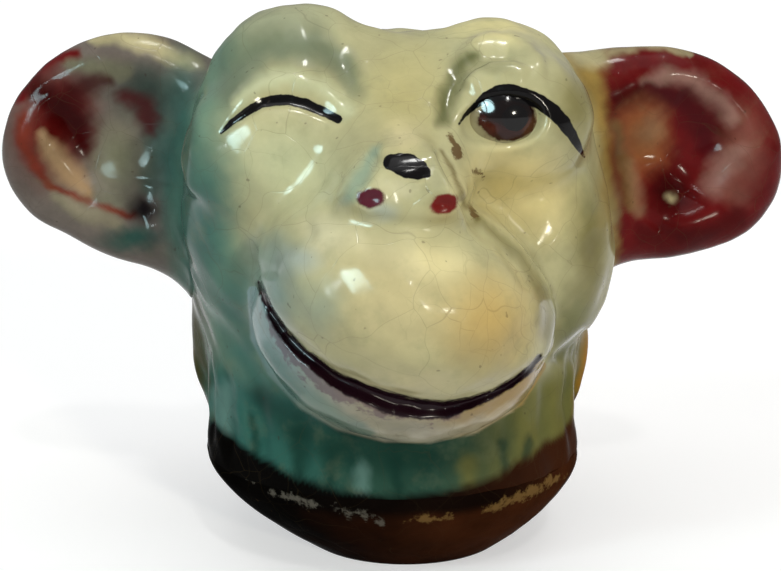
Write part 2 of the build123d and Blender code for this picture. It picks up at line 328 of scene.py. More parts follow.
def mass(points, name):
    """About the distance to one of the named masses."""
    size_name, centre, roll, pitch = MASS_PLACES[name]
    half = np.array(getattr(sizes(), size_name)) / MM
    return rounded(points - NECK_PLACE, centre, half, roll, pitch)


def flute_share(points):
    """How deep a point lies in the neck's hand-cut flutes, from 0 to 1; they run out at both ends."""
    around = np.arctan2(points[:, 0], -points[:, 1])
    wander = 1.5 * np.sin(3.1 * around) + 0.12 * points[:, 2]
    wave = (0.5 + 0.5 * np.cos(sizes().flutes * around + wander)) ** 2
    height = points[:, 2] - NECK_BOTTOM
    return wave * smooth(FLUTE_START, NECK_FLARE, height) * smooth(FLUTE_TOP, FLUTE_FADE, height)


def head_field(points):
    """About the distance to the skin of the head and neck, negative inside."""
    settings = sizes()
    x, y, z = (points - NECK_PLACE).T
    skin = mass(points, "skull")
    for name, reach in BACK_JOINS.items():
        skin = soft_join(skin, mass(points, name), reach)
    radius = settings.neck_radius / MM
    radius = radius + (FOOT_WIDEST - radius) * smooth(NECK_FLARE, 0.0, z)
    neck = np.hypot(x, y) - radius + settings.flute_depth / MM * flute_share(points)
    skin = soft_join(skin, np.maximum(neck, z - NECK_TOP), NECK_JOIN)
    for name, reach in FACE_JOINS.items():
        skin = soft_join(skin, mass(points, name), reach)
    centre, roll = MASS_PLACES["muzzle"][1:3]
    below = smooth(*MUZZLE_UNDER, z - centre[2] + math.tan(math.radians(roll)) * (x - centre[0]))
    skin = soft_join(skin, mass(points, "muzzle"), MUZZLE_JOIN + MUZZLE_TOP_JOIN * (1 - below))
    nose = soft_join(mass(points, "wing_left"), mass(points, "wing_right"), WINGS_JOIN)
    nose = soft_join(mass(points, "nose"), nose, NOSE_TIP_JOIN)
    skin = soft_join(skin, nose, NOSE_JOIN)
    opening = rounded(points, EYE_OPENING_PLACE, np.array(settings.eye_opening) / MM)
    skin = soft_cut(skin, opening, EYE_RIM_ROUND)
    return np.maximum(skin, HEAD_END - z)


# Each ear's centre above the neck's bottom and its tilt in degrees, and the lobes that run to the head
EAR_PLACES = {"left": ((-27.4, 4.5, 30.6), -28.0), "right": ((28.6, 4.5, 29.0), 30.0)}
LOBE_PLACES = {"left": ((-23.9, 4.6, 21.6),), "right": ((24.6, 4.6, 22.0), (19.8, 4.2, 34.6))}
EAR_BOWL_FORWARD = 6.3
EAR_RIM_ROUND = 2.0
LOBE_JOIN = 3.5
# The slip at an ear's root: the width of its fillet, and how far it lies under the head's skin
# and the ear's
ROOT_FILLET = 6.5
ROOT_SINK = 0.2
ROOT_DEPTH = 4.0


def ear_local(points, side):
    """Points in the ear's own axes: along its length, deep, across."""
    centre, tilt = EAR_PLACES[side]
    q = points - NECK_PLACE - np.array(centre)
    q[:, 0], q[:, 2] = turned(q[:, 0], q[:, 2], tilt)
    return q


def ear_field(points, side):
    """About the distance to the skin of one ear, negative inside."""
    settings = sizes()
    local = ear_local(points, side)
    blade = rounded(local, (0, 0, 0), np.array(settings.ear_blade) / MM)
    bowl = rounded(local, (0, -EAR_BOWL_FORWARD, 0), np.array(settings.ear_bowl) / MM)
    skin = soft_cut(blade, bowl, EAR_RIM_ROUND)
    for place in LOBE_PLACES[side]:
        lobe = rounded(points - NECK_PLACE, place, np.array(settings.ear_lobe) / MM)
        skin = soft_join(skin, lobe, LOBE_JOIN)
    return skin


def rooted_ear(points, side):
    """The ear's skin with the slip that joins it to the head and ends under the head's skin."""
    ear = ear_field(points, side)
    head = np.maximum(head_field(points) + ROOT_SINK, ear - ROOT_DEPTH)
    return soft_join(ear, head, ROOT_FILLET)


# Marks drawn in the photograph's pixels

def view_axes():
    """Right, up and forward directions of the photograph's camera."""
    pitch, yaw = math.radians(VIEW_PITCH), math.radians(VIEW_YAW)
    level = math.cos(pitch)
    forward = np.array((math.sin(yaw) * level, math.cos(yaw) * level, -math.sin(pitch)))
    right = np.array((math.cos(yaw), -math.sin(yaw), 0.0))
    return right, np.cross(right, forward), forward


def photo(points):
    """Pixel columns and rows where the points appear in the photograph."""
    right, up, forward = view_axes()
    q = points - VIEW_PLACE
    depth = q @ forward
    u = IMAGE_WIDTH / 2 + VIEW_FOCAL_PIXELS * (q @ right) / depth
    v = IMAGE_HEIGHT / 2 - VIEW_FOCAL_PIXELS * (q @ up) / depth
    return u, v


def uneven(points, seed):
    """Irregular waver between about -1 and 1, another one for each seed."""
    x, y, z = points.T
    slow = np.sin(0.63 * x + 0.41 * z + 1.7 * seed) + np.sin(0.52 * z - 0.7 * y + 2.3 * seed)
    middle = np.sin(1.37 * x - 0.9 * z + 0.6 * y + 3.1 * seed + slow)
    middle = middle + np.sin(1.9 * z + 1.1 * x + 4.7 * seed - slow)
    fast = np.sin(3.3 * x + 2.1 * z + 5.3 * seed + middle) + np.sin(3.9 * z - 2.7 * x - y + 0.9 * seed)
    return 0.25 * slow + 0.15 * middle + 0.1 * fast


# A loaded brush wavers by some pixels, and trembles more finely by a share of that
BRUSH_WAVER = 5.5
TREMBLE_SHARE = 0.35
TREMBLE_FINENESS = 2.3


def brushed(points):
    """Pixel columns and rows as photo gives them, wavering as a loaded brush does."""
    u, v = photo(points)
    across = uneven(points, 1) + TREMBLE_SHARE * uneven(TREMBLE_FINENESS * points, 6)
    down = uneven(points, 2) + TREMBLE_SHARE * uneven(TREMBLE_FINENESS * points, 7)
    return u + BRUSH_WAVER * across, v + BRUSH_WAVER * down


def along(u, v, path):
    """Distance in pixels to a path, negative above it, the share along it, and its half width there."""
    best = np.full(len(u), 1e9)
    share = np.zeros(len(u))
    width = np.zeros(len(u))
    below = np.ones(len(u), bool)
    lengths = [math.dist(a[:2], b[:2]) for a, b in zip(path[:-1], path[1:])]
    run = 0.0
    for a, b, step in zip(path[:-1], path[1:], lengths):
        t = np.clip(((u - a[0]) * (b[0] - a[0]) + (v - a[1]) * (b[1] - a[1])) / step ** 2, 0, 1)
        away = np.hypot(u - a[0] - t * (b[0] - a[0]), v - a[1] - t * (b[1] - a[1]))
        half = a[2] + t * (b[2] - a[2])
        nearer = away - half < best - width
        lower = (b[0] - a[0]) * (v - a[1]) > (b[1] - a[1]) * (u - a[0])
        below = np.where(nearer, lower, below)
        best = np.where(nearer, away, best)
        share = np.where(nearer, (run + t * step) / sum(lengths), share)
        width = np.where(nearer, half, width)
        run += step
    return np.where(below, best, -best), share, width


def stroke(u, v, path):
    """Signed distance in millimetres to a brush stroke, negative in the paint."""
    away, share, width = along(u, v, path)
    return (np.abs(away) - width) / PIXELS_PER_MM


def blot(u, v, centre, reach, turn=0.0):
    """Signed distance in millimetres to an oval spot of paint, negative in the paint."""
    a, b = turned(u - centre[0], v - centre[1], -turn)
    near = np.hypot(a / reach[0], b / reach[1])
    return (near - 1) * min(reach) / PIXELS_PER_MM


def soft_spot(u, v, centre, reach, firm=0.0):
    """Soft oval wash: 1 up to the firm share of its reach, 0 past its reach."""
    return smooth(1.0, firm, np.hypot((u - centre[0]) / reach[0], (v - centre[1]) / reach[1]))


def soft_band(u, v, path, firm=0.0):
    """Soft wash along a path: 0 at twice its half width, 1 up to the firm share of that."""
    away, share, width = along(u, v, path)
    return smooth(2.0, 2.0 * firm, np.abs(away) / width)


def coat(colour, points):
    """One colour for all the points."""
    return np.tile(np.array(colour), (len(points), 1))


def wash(colour, tint, amount):
    """Lays a tint, or a tint for each point, over the colours by an amount for each point."""
    return colour + (np.array(tint) - colour) * amount[:, None]


# Brush strokes of enamel: column, row, half width
WINK = ((221, 133, 1.5), (232, 122, 3), (245, 113, 4), (262, 103, 5), (275, 100, 5.5), (290, 100, 5.5),
        (306, 104, 5.5), (322, 111, 5), (338, 119, 4))
LASH = ((459, 124, 1), (466, 114, 2), (475, 106, 3), (486, 98, 6), (498, 93, 8), (511, 92, 8.5),
        (525, 96, 8), (540, 102, 7.5), (554, 112, 7.5), (564, 123, 7), (572, 135, 5.5), (579, 147, 3.5),
        (584, 157, 1))
NOSE_PATCH = ((391, 162, 8), (400, 164, 11), (408, 166, 12.5), (417, 169, 10.5), (424, 172, 6.5),
              (428, 175, 3))
MOUTH = ((259, 284, 3), (270, 312, 4.5), (283, 333, 5.5), (303, 355, 6.5), (335, 380, 8), (365, 394, 9.5),
         (395, 405, 11), (420, 410, 10.5), (445, 410, 8.5), (471, 403, 6), (495, 393, 4.5), (514, 382, 4),
         (530, 369, 3.5), (540, 357, 3))
MOUTH_STAIN = ((266, 312, 3), (284, 342, 8), (308, 368, 10), (338, 389, 10), (370, 403, 9), (400, 412, 8),
               (430, 417, 5), (460, 412, 3))
CHIPS = (((450, 136, 2), (456, 147, 4), (459, 156, 4)), ((474, 171, 3), (481, 174, 3)),
         ((470, 206, 2), (474, 216, 2.5)))
# Flecks along the foot's shoulder: worn glaze that also paints the shoulder's highlight
SHOULDER_SCRATCHES_AND_GLINTS = (((268, 492, 1.5), (290, 496, 2.5), (316, 505, 1.5)),
             ((334, 508, 1.5), (352, 513, 2.5), (371, 518, 1.5)),
             ((244, 474, 1), (256, 482, 1.5)),
             ((378, 523, 1.5), (384, 525, 1.5)))
SHOULDER_STREAKS_AND_GLINTS = (((405, 520, 1), (428, 519, 2), (450, 517, 1)),
           ((484, 510, 1.5), (505, 503, 3.5), (530, 492, 3)),
           ((528, 494, 2), (548, 483, 3), (561, 474, 1.5)))

# Spots of enamel: centre and reach, and a turn in degrees
NOSTRIL_LEFT = (371, 198)
NOSTRIL_LEFT_TURN = 5
NOSTRIL_RIGHT = (444, 204)
NOSTRIL_RIGHT_TURN = -18
NOSTRIL_REACH = (14, 10)
NOSTRIL_DENT = (17, 13)
IRIS_CENTRE = (507, 118)
IRIS_REACH = (28.5, 23)
IRIS_BULGE_REACH = (34, 28)
IRIS_SPOTS = {
    "iris_red": ((487, 125), (11, 12)),
    "iris_brown": ((531, 127), (8, 12)),
    # The iris's dark top: enamel, and painted shadow of the upper lid
    "iris_dark_and_lid_shadow": ((508, 106), (29, 19)),
}
PUPIL_CENTRE = (515, 118)
PUPIL_REACH = (13, 13)
EYE_CORNER = ((548, 128), (16, 16))

# Washes of glaze on the lip, the neck and the fur beside it: column, row, half width
LIP = ((253, 292, 6), (264, 335, 14), (283, 364, 18), (312, 392, 20), (345, 411, 20), (387, 424, 18),
       (429, 428, 15), (471, 420, 14), (514, 396, 12), (540, 366, 6))
# A painted highlight along the lip's lower rim, and painted shade on its lower left edge
LIP_RIM_HIGHLIGHT = ((300, 402, 5), (345, 427, 5), (387, 436, 5), (429, 437, 5), (471, 429, 5), (512, 406, 5))
LIP_SHADE = ((262, 348, 7), (282, 380, 10), (305, 402, 10), (342, 424, 8), (372, 434, 4))
UNDER_LIP = ((262, 395, 12), (300, 428, 15), (350, 448, 16), (400, 458, 17), (450, 454, 15), (505, 436, 10))
DARK_DRIPS = (((252, 418, 5), (254, 456, 4)), ((300, 432, 9), (301, 472, 6)),
              ((331, 448, 9), (333, 482, 6)), ((398, 462, 8), (400, 492, 5)),
              ((505, 444, 5), (505, 470, 4)), ((530, 438, 4), (528, 462, 3)))
PALE_DRIPS = (((224, 392, 7), (225, 430, 6)), ((362, 468, 7), (362, 492, 5)),
              ((468, 462, 9), (470, 488, 6)), ((560, 402, 7), (560, 436, 5)))
LEFT_DRIP = ((216, 392, 9), (224, 432, 9))
FUR_LEFT = ((190, 305, 10), (196, 350, 12), (200, 390, 9))
FUR_RIGHT = ((592, 338, 9), (590, 380, 9), (584, 418, 8))

# Root of the right ear: the column where its tan starts, how that slants, and its cream top
RIGHT_ROOT_COLUMN = 597
RIGHT_ROOT_SLANT = 0.075
RIGHT_ROOT_EDGE = (9, 7)
RIGHT_ROOT_CREAM = ((588, 54), (30, 22))
RIGHT_ROOT_FIRMNESS = 0.3

# Layers of airbrushed colour: its name, how thickly it covers, and a spot's centre and reach or a band
FACE_WASHES = (
    ("brow_green", 0.9, ((285, 22), (90, 42))),
    ("brow", 0.9, ((495, 26), (80, 28))),
    # Grey-green in the closed eye's socket: painted shade in the hollow over the glaze
    ("socket", 0.85, ((226, 94, 12), (240, 68, 16), (268, 47, 18), (310, 46, 16), (344, 66, 13),
                      (358, 92, 9))),
    ("forehead", 0.9, ((405, 95), (70, 85))),
    ("bridge", 0.9, ((402, 138), (36, 30))),
    ("eyelid", 0.9, ((285, 165), (85, 65))),
    # Pale cream along the closed lid's ridge: glaze, and painted light on its crest
    ("eyelid", 0.8, ((238, 102, 6), (262, 84, 8), (290, 76, 8), (322, 86, 8), (346, 110, 7))),
    ("pale", 0.8, ((332, 236), (48, 34))),
    ("teal", 0.95, ((205, 215), (58, 130))),
    ("teal", 0.85, ((238, 305), (44, 76))),
    # Deep teal at the left cheek's edge and the left ear's root: painted shade over the teal glaze
    ("deep_teal_and_shade", 0.7, ((192, 270), (34, 80))),
    ("deep_teal_and_shade", 0.6, ((174, 165), (34, 140))),
    # Warm cream on the right cheek: glaze, and painted warm light from the right
    ("cheek_warm_glaze_and_light", 0.95, ((512, 180), (80, 60))),
    ("cheek_warm_glaze_and_light", 0.7, ((548, 210), (55, 60))),
    # Olive at the right edge of the face: glaze, darkened as painted shade where it turns away
    ("cheek_olive_and_shade", 0.95, ((594, 245), (42, 120))),
    # Dark green on the low right cheek: painted shade above the crease to the neck
    ("cheek_low_shade", 0.85, ((572, 330), (44, 66))),
    # Olive at the right temple: glaze, darkened as painted shade
    ("cheek_olive_and_shade", 0.8, ((578, 104), (42, 66))),
    # The fold's colour along the crease between the right cheek and the neck: painted shade
    ("fold", 0.7, ((598, 326, 8), (578, 344, 8), (556, 358, 6))),
    ("root_tan", 0.85, ((608, 165), (20, 100))),
    ("fold", 0.9, ((474, 57, 7), (458, 72, 9), (448, 92, 9), (444, 118, 7))),
    ("fold", 0.45, ((497, 66), (36, 13))),
    ("muzzle", 1.0, ((395, 300), (138, 108))),
    # Warm right of the muzzle: glaze, and painted warm light from the right
    ("muzzle_warm_glaze_and_light", 0.8, ((490, 322), (76, 82))),
    ("muzzle_shade", 0.95, ((274, 290), (46, 82))),
    ("muzzle_shade", 0.5, ((268, 252), (40, 30))),
    ("muzzle_shade", 0.55, ((320, 306), (36, 52))),
    ("pool", 0.6, ((300, 258), (34, 22))),
    ("bridge", 0.7, ((432, 264), (52, 26))),
    ("bridge", 0.5, ((518, 200), (32, 22))),
    ("muzzle_under", 0.8, ((405, 385), (120, 30))),
    ("teal", 0.85, ((246, 350, 12), (262, 378, 14), (286, 404, 12))),
    ("pale", 0.5, ((398, 190), (34, 16))),
    ("pool", 0.6, ((380, 212), (26, 18))),
    ("root_tan", 0.45, ((442, 214), (30, 20))),
    ("nose_teal", 0.9, ((349, 198, 6), (357, 182, 9), (367, 164, 8), (374, 150, 5))),
    # Dark olive line in the crease beside the nose: painted shade, with stain
    ("crease_stain_and_shade", 0.8, ((441, 150, 2), (450, 168, 2.4), (460, 188, 2.6), (470, 208, 2.6), (477, 222, 2))),
    # Olive along the crease of the right cheek: painted shade in the crease
    ("cheek_olive_and_shade", 0.6, ((478, 222, 5), (500, 238, 6), (525, 262, 7), (542, 292, 8), (548, 330, 8))),
)
LEFT_EAR_WASHES = (
    ("rust", 1.0, ((50, 126), (66, 92))),
    ("crimson", 0.9, ((62, 112), (50, 56))),
    ("ear_slate", 1.0, ((146, 92), (52, 44))),
    ("ear_slate", 1.0, ((154, 110, 8), (153, 150, 9), (150, 190, 8))),
    # Cream in the cup, dulled as painted shade of the bowl
    ("ear_cream_and_shade", 0.9, ((70, 62, 6), (98, 68, 9), (124, 72, 7))),
    ("ear_top", 1.0, ((92, 38, 4), (118, 38, 7), (154, 47, 8), (192, 63, 8))),
    ("ear_cream_and_shade", 1.0, ((120, 160), (46, 64))),
    ("ear_cream_and_shade", 0.8, ((96, 206), (48, 24))),
    ("crimson", 1.0, ((19, 96, 5), (32, 76, 8), (50, 62, 8), (78, 52, 4))),
    ("deep_crimson", 1.0, ((36, 92, 10), (56, 108, 17), (78, 126, 17), (84, 146, 9))),
    ("deep_crimson", 0.8, ((74, 94, 10), (92, 84, 10), (108, 80, 6))),
    ("plum", 0.85, ((122, 96, 7), (142, 104, 9), (152, 124, 8))),
    ("ear_rust", 0.95, ((22, 118, 5), (26, 142, 7), (38, 168, 7), (56, 188, 4))),
    ("ear_tan", 1.0, ((43, 134, 5), (55, 152, 9), (70, 173, 10), (88, 191, 6))),
    ("ear_rust", 0.95, ((52, 186, 3), (84, 200, 4), (112, 211, 4), (132, 217, 4))),
    ("ear_buff", 0.95, ((58, 198, 5), (88, 214, 9), (116, 225, 6))),
    # Deep teal at the bottom of the cup and at its root: painted shade over the teal glaze
    ("deep_teal_and_shade", 0.95, ((132, 239), (50, 18))),
    ("teal", 0.9, ((186, 150), (36, 150))),
    ("deep_teal_and_shade", 0.8, ((172, 170), (24, 110))),
    ("ear_pit", 1.0, ((144, 212), (27, 24))),
)
RIGHT_EAR_WASHES = (
    ("mauve", 1.0, ((742, 150), (38, 66))),
    ("ear_top", 0.7, ((612, 53, 4), (640, 47, 5), (668, 47, 4), (690, 54, 2))),
    ("ear_pale", 0.85, ((644, 85, 5), (664, 78, 8), (692, 82, 9), (716, 100, 9), (731, 118, 6))),
    ("deep_crimson", 0.9, ((612, 112, 9), (622, 98, 12), (644, 92, 8))),
    ("plum", 1.0, ((650, 93, 8), (684, 104, 13), (704, 122, 16), (708, 146, 12))),
    ("ear_orange", 1.0, ((642, 138), (40, 54))),
    ("ear_tan", 0.5, ((652, 128), (22, 26))),
    ("rust", 0.5, ((611, 104, 4), (614, 130, 4), (620, 158, 4))),
    ("ear_pale", 0.65, ((742, 150, 8), (724, 168, 13), (713, 188, 11))),
    ("mauve", 0.8, ((736, 196), (26, 24))),
    ("deep_crimson", 1.0, ((668, 196), (38, 44))),
    ("deep_crimson", 0.55, ((640, 234, 8), (690, 236, 9), (735, 220, 8))),
    # Dark band where the ear meets the head: painted shade in the crease, with stain
    ("crease_stain_and_shade", 0.6, ((616, 126, 5), (624, 160, 7), (630, 205, 7))),
    ("ear_tan", 0.35, ((632, 165, 6), (637, 190, 7), (640, 214, 6))),
    ("ear_top", 0.8, ((672, 198), (10, 9))),
)
EAR_FIRMNESS = 0.05

# Modelled ridges (raised) and grooves (lowered): height in millimetres, then the path
FACE_RELIEF = (
    (-0.7, ((228, 72, 12), (250, 48, 14), (280, 38, 14), (310, 36, 14), (338, 52, 13), (356, 80, 10))),
    (0.45, ((232, 110, 6), (258, 86, 8), (290, 78, 8), (322, 88, 8), (346, 112, 6))),
    (-0.4, WINK),
    (0.7, ((466, 58, 8), (478, 47, 8), (492, 41, 8), (509, 41, 8), (525, 48, 8), (536, 62, 7),
           (542, 82, 6))),
    (-0.8, ((446, 118, 8), (448, 97, 9), (457, 76, 9), (471, 62, 8), (488, 55, 7), (506, 54, 6),
            (520, 62, 5))),
    (0.6, ((462, 90, 8), (474, 78, 10), (492, 70, 10), (512, 70, 9), (530, 80, 8))),
    (-0.8, ((438, 146, 5), (448, 166, 5), (460, 188, 5), (470, 206, 6), (478, 224, 6))),
    (0.35, ((428, 150, 5), (438, 168, 5), (448, 186, 5), (458, 206, 5))),
    (-0.6, ((352, 184, 9), (366, 166, 9), (374, 148, 7))),
    (-0.35, ((345, 212, 7), (365, 222, 7), (395, 222, 6), (425, 228, 7), (452, 226, 7))),
    (-0.5, ((262, 282, 9), (270, 255, 9), (290, 236, 9), (320, 225, 8))),
    (-0.6, ((478, 222, 8), (500, 238, 9), (525, 265, 9), (538, 290, 8))),
    (-0.7, ((596, 334, 8), (577, 350, 8), (556, 364, 7))),
    (0.3, ((207, 78, 6), (197, 140, 6), (190, 200, 6))),
)
NOSTRIL_DEPTH = 0.45
LEFT_EAR_RELIEF = (
    (-0.5, ((38, 84, 13), (58, 112, 16), (84, 142, 15))),
    (0.4, ((48, 142, 10), (72, 172, 11), (98, 196, 9))),
    (0.35, ((100, 100, 14), (118, 140, 16), (116, 182, 14))),
    (-0.7, ((152, 178, 14), (148, 206, 16), (132, 218, 12))),
)
RIGHT_EAR_RELIEF = (
    (-0.5, ((676, 96, 14), (708, 114, 16), (722, 152, 14))),
    (0.4, ((632, 112, 14), (650, 140, 16), (655, 172, 14))),
    (-0.7, ((688, 184, 16), (670, 210, 18), (652, 232, 14))),
)


def relief_height(u, v, marks):
    """Height in millimetres of modelled ridges and grooves."""
    height = np.zeros(len(u))
    for rise, path in marks:
        away, share, width = along(u, v, path)
        ends = smooth(0.0, 0.15, share) * smooth(1.0, 0.85, share)
        height += rise * np.exp(-(away / (1.2 * width)) ** 2) * (0.35 + 0.65 * ends)
    return height


HAND_WAVE_HEIGHT = 0.09
FUR_STROKES_ROUND = 30
FUR_STROKE_HEIGHT = 0.34
# Depths between which the fur's strokes start, and between which the face's relief ends
FUR_START = (5.0, 11.0)
RELIEF_END = (-1.0, -6.0)
# The mouth's cut: its two slopes in half widths of its paint, and the depths where it fades
MOUTH_UPPER_EDGE = (-1.2, -0.7)
MOUTH_SLOPE = (1.3, -0.7)
MOUTH_END = (-6.0, -9.0)
# An ear's relief lies in its cup, is calmer than the head's, and ends where the ear meets the head
EAR_CUP_EDGE = (1.0, -0.5)
EAR_WAVES = 0.4
EAR_ROOT_EDGE = (2.0, 0.3)


def hand_waves(points):
    """Slow uneven waves of hand-modelled clay, in millimetres."""
    x, y, z = points.T
    wave = np.sin(0.55 * x + 0.9 * z + 1.0) * np.sin(0.7 * y - 0.35 * z)
    wave += 0.6 * np.sin(1.15 * x - 0.6 * z + 0.8 * y + 2.0)
    wave += 0.4 * np.sin(1.9 * z + 0.9 * x) * np.sin(1.6 * x - 0.5 * y + 0.7)
    return HAND_WAVE_HEIGHT * wave


def fur_waves(points):
    """Combed strokes of the fur on the back of the head, in millimetres."""
    x, y, z = points.T
    around = np.arctan2(x, y)
    phase = FUR_STROKES_ROUND * around
    phase = phase + 1.6 * np.sin(0.33 * z + 2.2 * around) + 0.45 * np.sin(0.7 * z - 5 * around)
    return FUR_STROKE_HEIGHT * np.sin(phase) * smooth(*FUR_START, y)


def ear_relief(points, side, marks):
    """Height of the modelled detail on an ear, which turns into the head's at its root."""
    cup = smooth(*EAR_CUP_EDGE, ear_local(points, side)[:, 1])
    modelled = relief_height(*photo(points), marks) * cup + EAR_WAVES * hand_waves(points)
    at_head = smooth(*EAR_ROOT_EDGE, head_field(points))
    return modelled + (face_relief(points) - modelled) * at_head


def carve_mouth(bm):
    """Cuts the mouth under the muzzle, deep at its upper edge and sloping out over the lip."""
    points = get_points(bm)
    across, share, width = along(*photo(points), MOUTH)
    level = across / width
    ends = smooth(-0.02, 0.12, share) * smooth(1.02, 0.85, share)
    cut = smooth(*MOUTH_UPPER_EDGE, level) * smooth(*MOUTH_SLOPE, level) * (0.3 + 0.7 * ends)
    cut *= sizes().mouth_depth / MM * smooth(*MOUTH_END, points[:, 1])
    sight = points - VIEW_PLACE
    sight /= np.linalg.norm(sight, axis=1)[:, None]
    set_points(bm, points + sight * cut[:, None])


def face_relief(points):
    """Height of all the modelled detail on the head, in millimetres."""
    u, v = photo(points)
    front = smooth(*RELIEF_END, points[:, 1])
    height = relief_height(u, v, FACE_RELIEF)
    for centre in (NOSTRIL_LEFT, NOSTRIL_RIGHT):
        height -= NOSTRIL_DEPTH * soft_spot(u, v, centre, NOSTRIL_DENT)
    return height * front + hand_waves(points) + fur_waves(points)


# Pressing a ball onto a field

SLOPE_STEP = 0.05
PRESS_STEPS = 50
PRESS_SHARE = 0.7
SETTLE_STEPS = 2
SETTLE_LIMIT = 0.6
GENTLEST_SLOPE = 0.5
# The mesh is finer in front of this depth, and again up to this far beside the mouth's paint
FRONT_DEPTH = -4.0
MOUTH_MARGIN = 0.6


def get_points(bm):
    """Places of the vertices, in millimetres."""
    return np.array([vert.co for vert in bm.verts]) / MM


def set_points(bm, points):
    """Moves the vertices to places in millimetres."""
    for vert, place in zip(bm.verts, points * MM):
        vert.co = place


def new_ball(centre, radius, subdivisions):
    """A mesh that starts as an even ball; centre and radius are in millimetres."""
    bm = bmesh.new()
    bmesh.ops.create_icosphere(bm, subdivisions=subdivisions, radius=radius * MM)
    set_points(bm, get_points(bm) + centre)
    return bm


def outward(field, points):
    """Unit directions out of the field's skin, the field's values and its slopes."""
    here = field(points)
    slope = np.stack([field(points + SLOPE_STEP * axis) - here for axis in np.eye(3)], 1)
    return slope / np.maximum(np.linalg.norm(slope, axis=1), 1e-9)[:, None], here, slope / SLOPE_STEP


def press(bm, field, centre, reach):
    """Moves each vertex along its ray from the centre onto the outermost skin of the field."""
    rays = get_points(bm) - centre
    rays /= np.linalg.norm(rays, axis=1)[:, None]
    out = np.full(len(rays), reach)
    for step in range(PRESS_STEPS):
        out -= PRESS_SHARE * field(centre + rays * out[:, None])
    set_points(bm, centre + rays * out[:, None])


def relax(bm, field, rounds):
    """Evens out the mesh and settles it on the field again, a few times."""
    for turn in range(rounds):
        bmesh.ops.smooth_vert(bm, verts=bm.verts, factor=0.5,
                              use_axis_x=True, use_axis_y=True, use_axis_z=True)
        points = get_points(bm)
        for again in range(SETTLE_STEPS):
            normal, gap, slope = outward(field, points)
            steep = np.maximum(np.linalg.norm(slope, axis=1), GENTLEST_SLOPE)
            points = points - normal * np.clip(gap / steep, -SETTLE_LIMIT, SETTLE_LIMIT)[:, None]
        set_points(bm, points)


def raise_relief(bm, field, relief):
    """Raises the modelled detail along the skin's own directions."""
    points = get_points(bm)
    normal = outward(field, points)[0]
    set_points(bm, points + normal * relief(points)[:, None])


def refine(bm, wanted):
    """Splits the edges whose two ends are both wanted."""
    keep = wanted(get_points(bm))
    bm.verts.index_update()
    edges = [edge for edge in bm.edges if keep[edge.verts[0].index] and keep[edge.verts[1].index]]
    bmesh.ops.subdivide_edges(bm, edges=edges, cuts=1, use_grid_fill=True)
    bmesh.ops.triangulate(bm, faces=[face for face in bm.faces if len(face.verts) > 3])


def everywhere(points):
    """All of the points."""
    return np.ones(len(points), bool)


def in_front(points):
    """Whether points lie on the front of the head."""
    return points[:, 1] < FRONT_DEPTH


def near_mouth(points):
    """Whether points lie in or beside the mouth."""
    u, v = photo(points)
    return (stroke(u, v, MOUTH) < MOUTH_MARGIN) & (points[:, 1] < MOUTH_END[0])


def shade_smooth(bm):
    """Makes all the faces shade as one rounded skin."""
    for face in bm.faces:
        face.smooth = True


def cut_flat(bm, place, normal):
    """Cuts the mesh at a plane, removes the side the normal points to, and closes the cut."""
    geometry = bm.verts[:] + bm.edges[:] + bm.faces[:]
    result = bmesh.ops.bisect_plane(bm, geom=geometry, dist=1e-7, plane_co=np.array(place) * MM,
                                    plane_no=normal, clear_outer=True)
    rim = [item for item in result["geom_cut"] if isinstance(item, bmesh.types.BMEdge)]
    made = bmesh.ops.contextual_create(bm, geom=rim)
    if not made["faces"]:
        raise RuntimeError("the cut through the head could not be closed")
    for edge in rim:
        edge.smooth = False


def finish_piece(bm, name, replaced, material, paint_layers):
    """Writes the mesh, its paint layers and its material, and ties the piece to the frame."""
    bmesh.ops.recalc_face_normals(bm, faces=bm.faces)
    mesh = bpy.data.meshes.new(name)
    bm.to_mesh(mesh)
    points = get_points(bm)
    bm.free()
    for layer, values in paint_layers(points).items():
        if values.ndim == 2:
            rgba = np.concatenate([np.clip(values, 0, 1), np.ones((len(values), 1))], 1)
            made = mesh.color_attributes.new(layer, "FLOAT_COLOR", "POINT")
            made.data.foreach_set("color", rgba.ravel())
        else:
            mesh.attributes.new(layer, "FLOAT", "POINT").data.foreach_set("value", values)
    mesh.materials.append(material)
    piece = bpy.data.objects.new(name, mesh)
    bpy.context.collection.objects.link(piece)
    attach(piece, "root")
    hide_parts(*replaced)


# Paint laid on the pieces

def lay_washes(u, v, colour, washes, firm=0.0):
    """Lays the soft spots and bands of colour of one table."""
    for name, amount, shape in washes:
        lay = soft_band(u, v, shape, firm) if len(shape[0]) == 3 else soft_spot(u, v, *shape, firm)
        colour = wash(colour, getattr(colours(), name), amount * lay)
    return colour


# The teal side of the face: its edge's column, and how far that swings left and right between rows
TEAL_COLUMN = 255
TEAL_SWING_LEFT = 30
TEAL_LEFT_ROWS = (60, 140)
TEAL_SWING_RIGHT = 40
TEAL_RIGHT_ROWS = (200, 330)
TEAL_EDGE_INSIDE = 30
TEAL_EDGE_OUTSIDE = 40


def face_colour(points):
    """Airbrushed glaze colours of the face, the neck and the lip, with painted shade in hollows and creases
    and painted warm light at the right.
    """
    c = colours()
    u, v = brushed(points)
    edge = TEAL_COLUMN - TEAL_SWING_LEFT * smooth(*TEAL_LEFT_ROWS, v)
    edge = edge + TEAL_SWING_RIGHT * smooth(*TEAL_RIGHT_ROWS, v)
    side = smooth(edge + TEAL_EDGE_INSIDE, edge - TEAL_EDGE_OUTSIDE, u)
    colour = wash(coat(c.clay, points), c.edge_teal, side)
    colour = lay_washes(u, v, colour, FACE_WASHES)
    return lay_lip(points, lay_neck(points, colour))


# The lip turns pale and then peach between shares of its length, and ends between two depths
LIP_PALE_FROM = (0.15, 0.5)
LIP_PEACH_FROM = (0.6, 0.85)
LIP_EDGE = (1.1, 0.9)
LIP_END = (-8.0, -14.0)


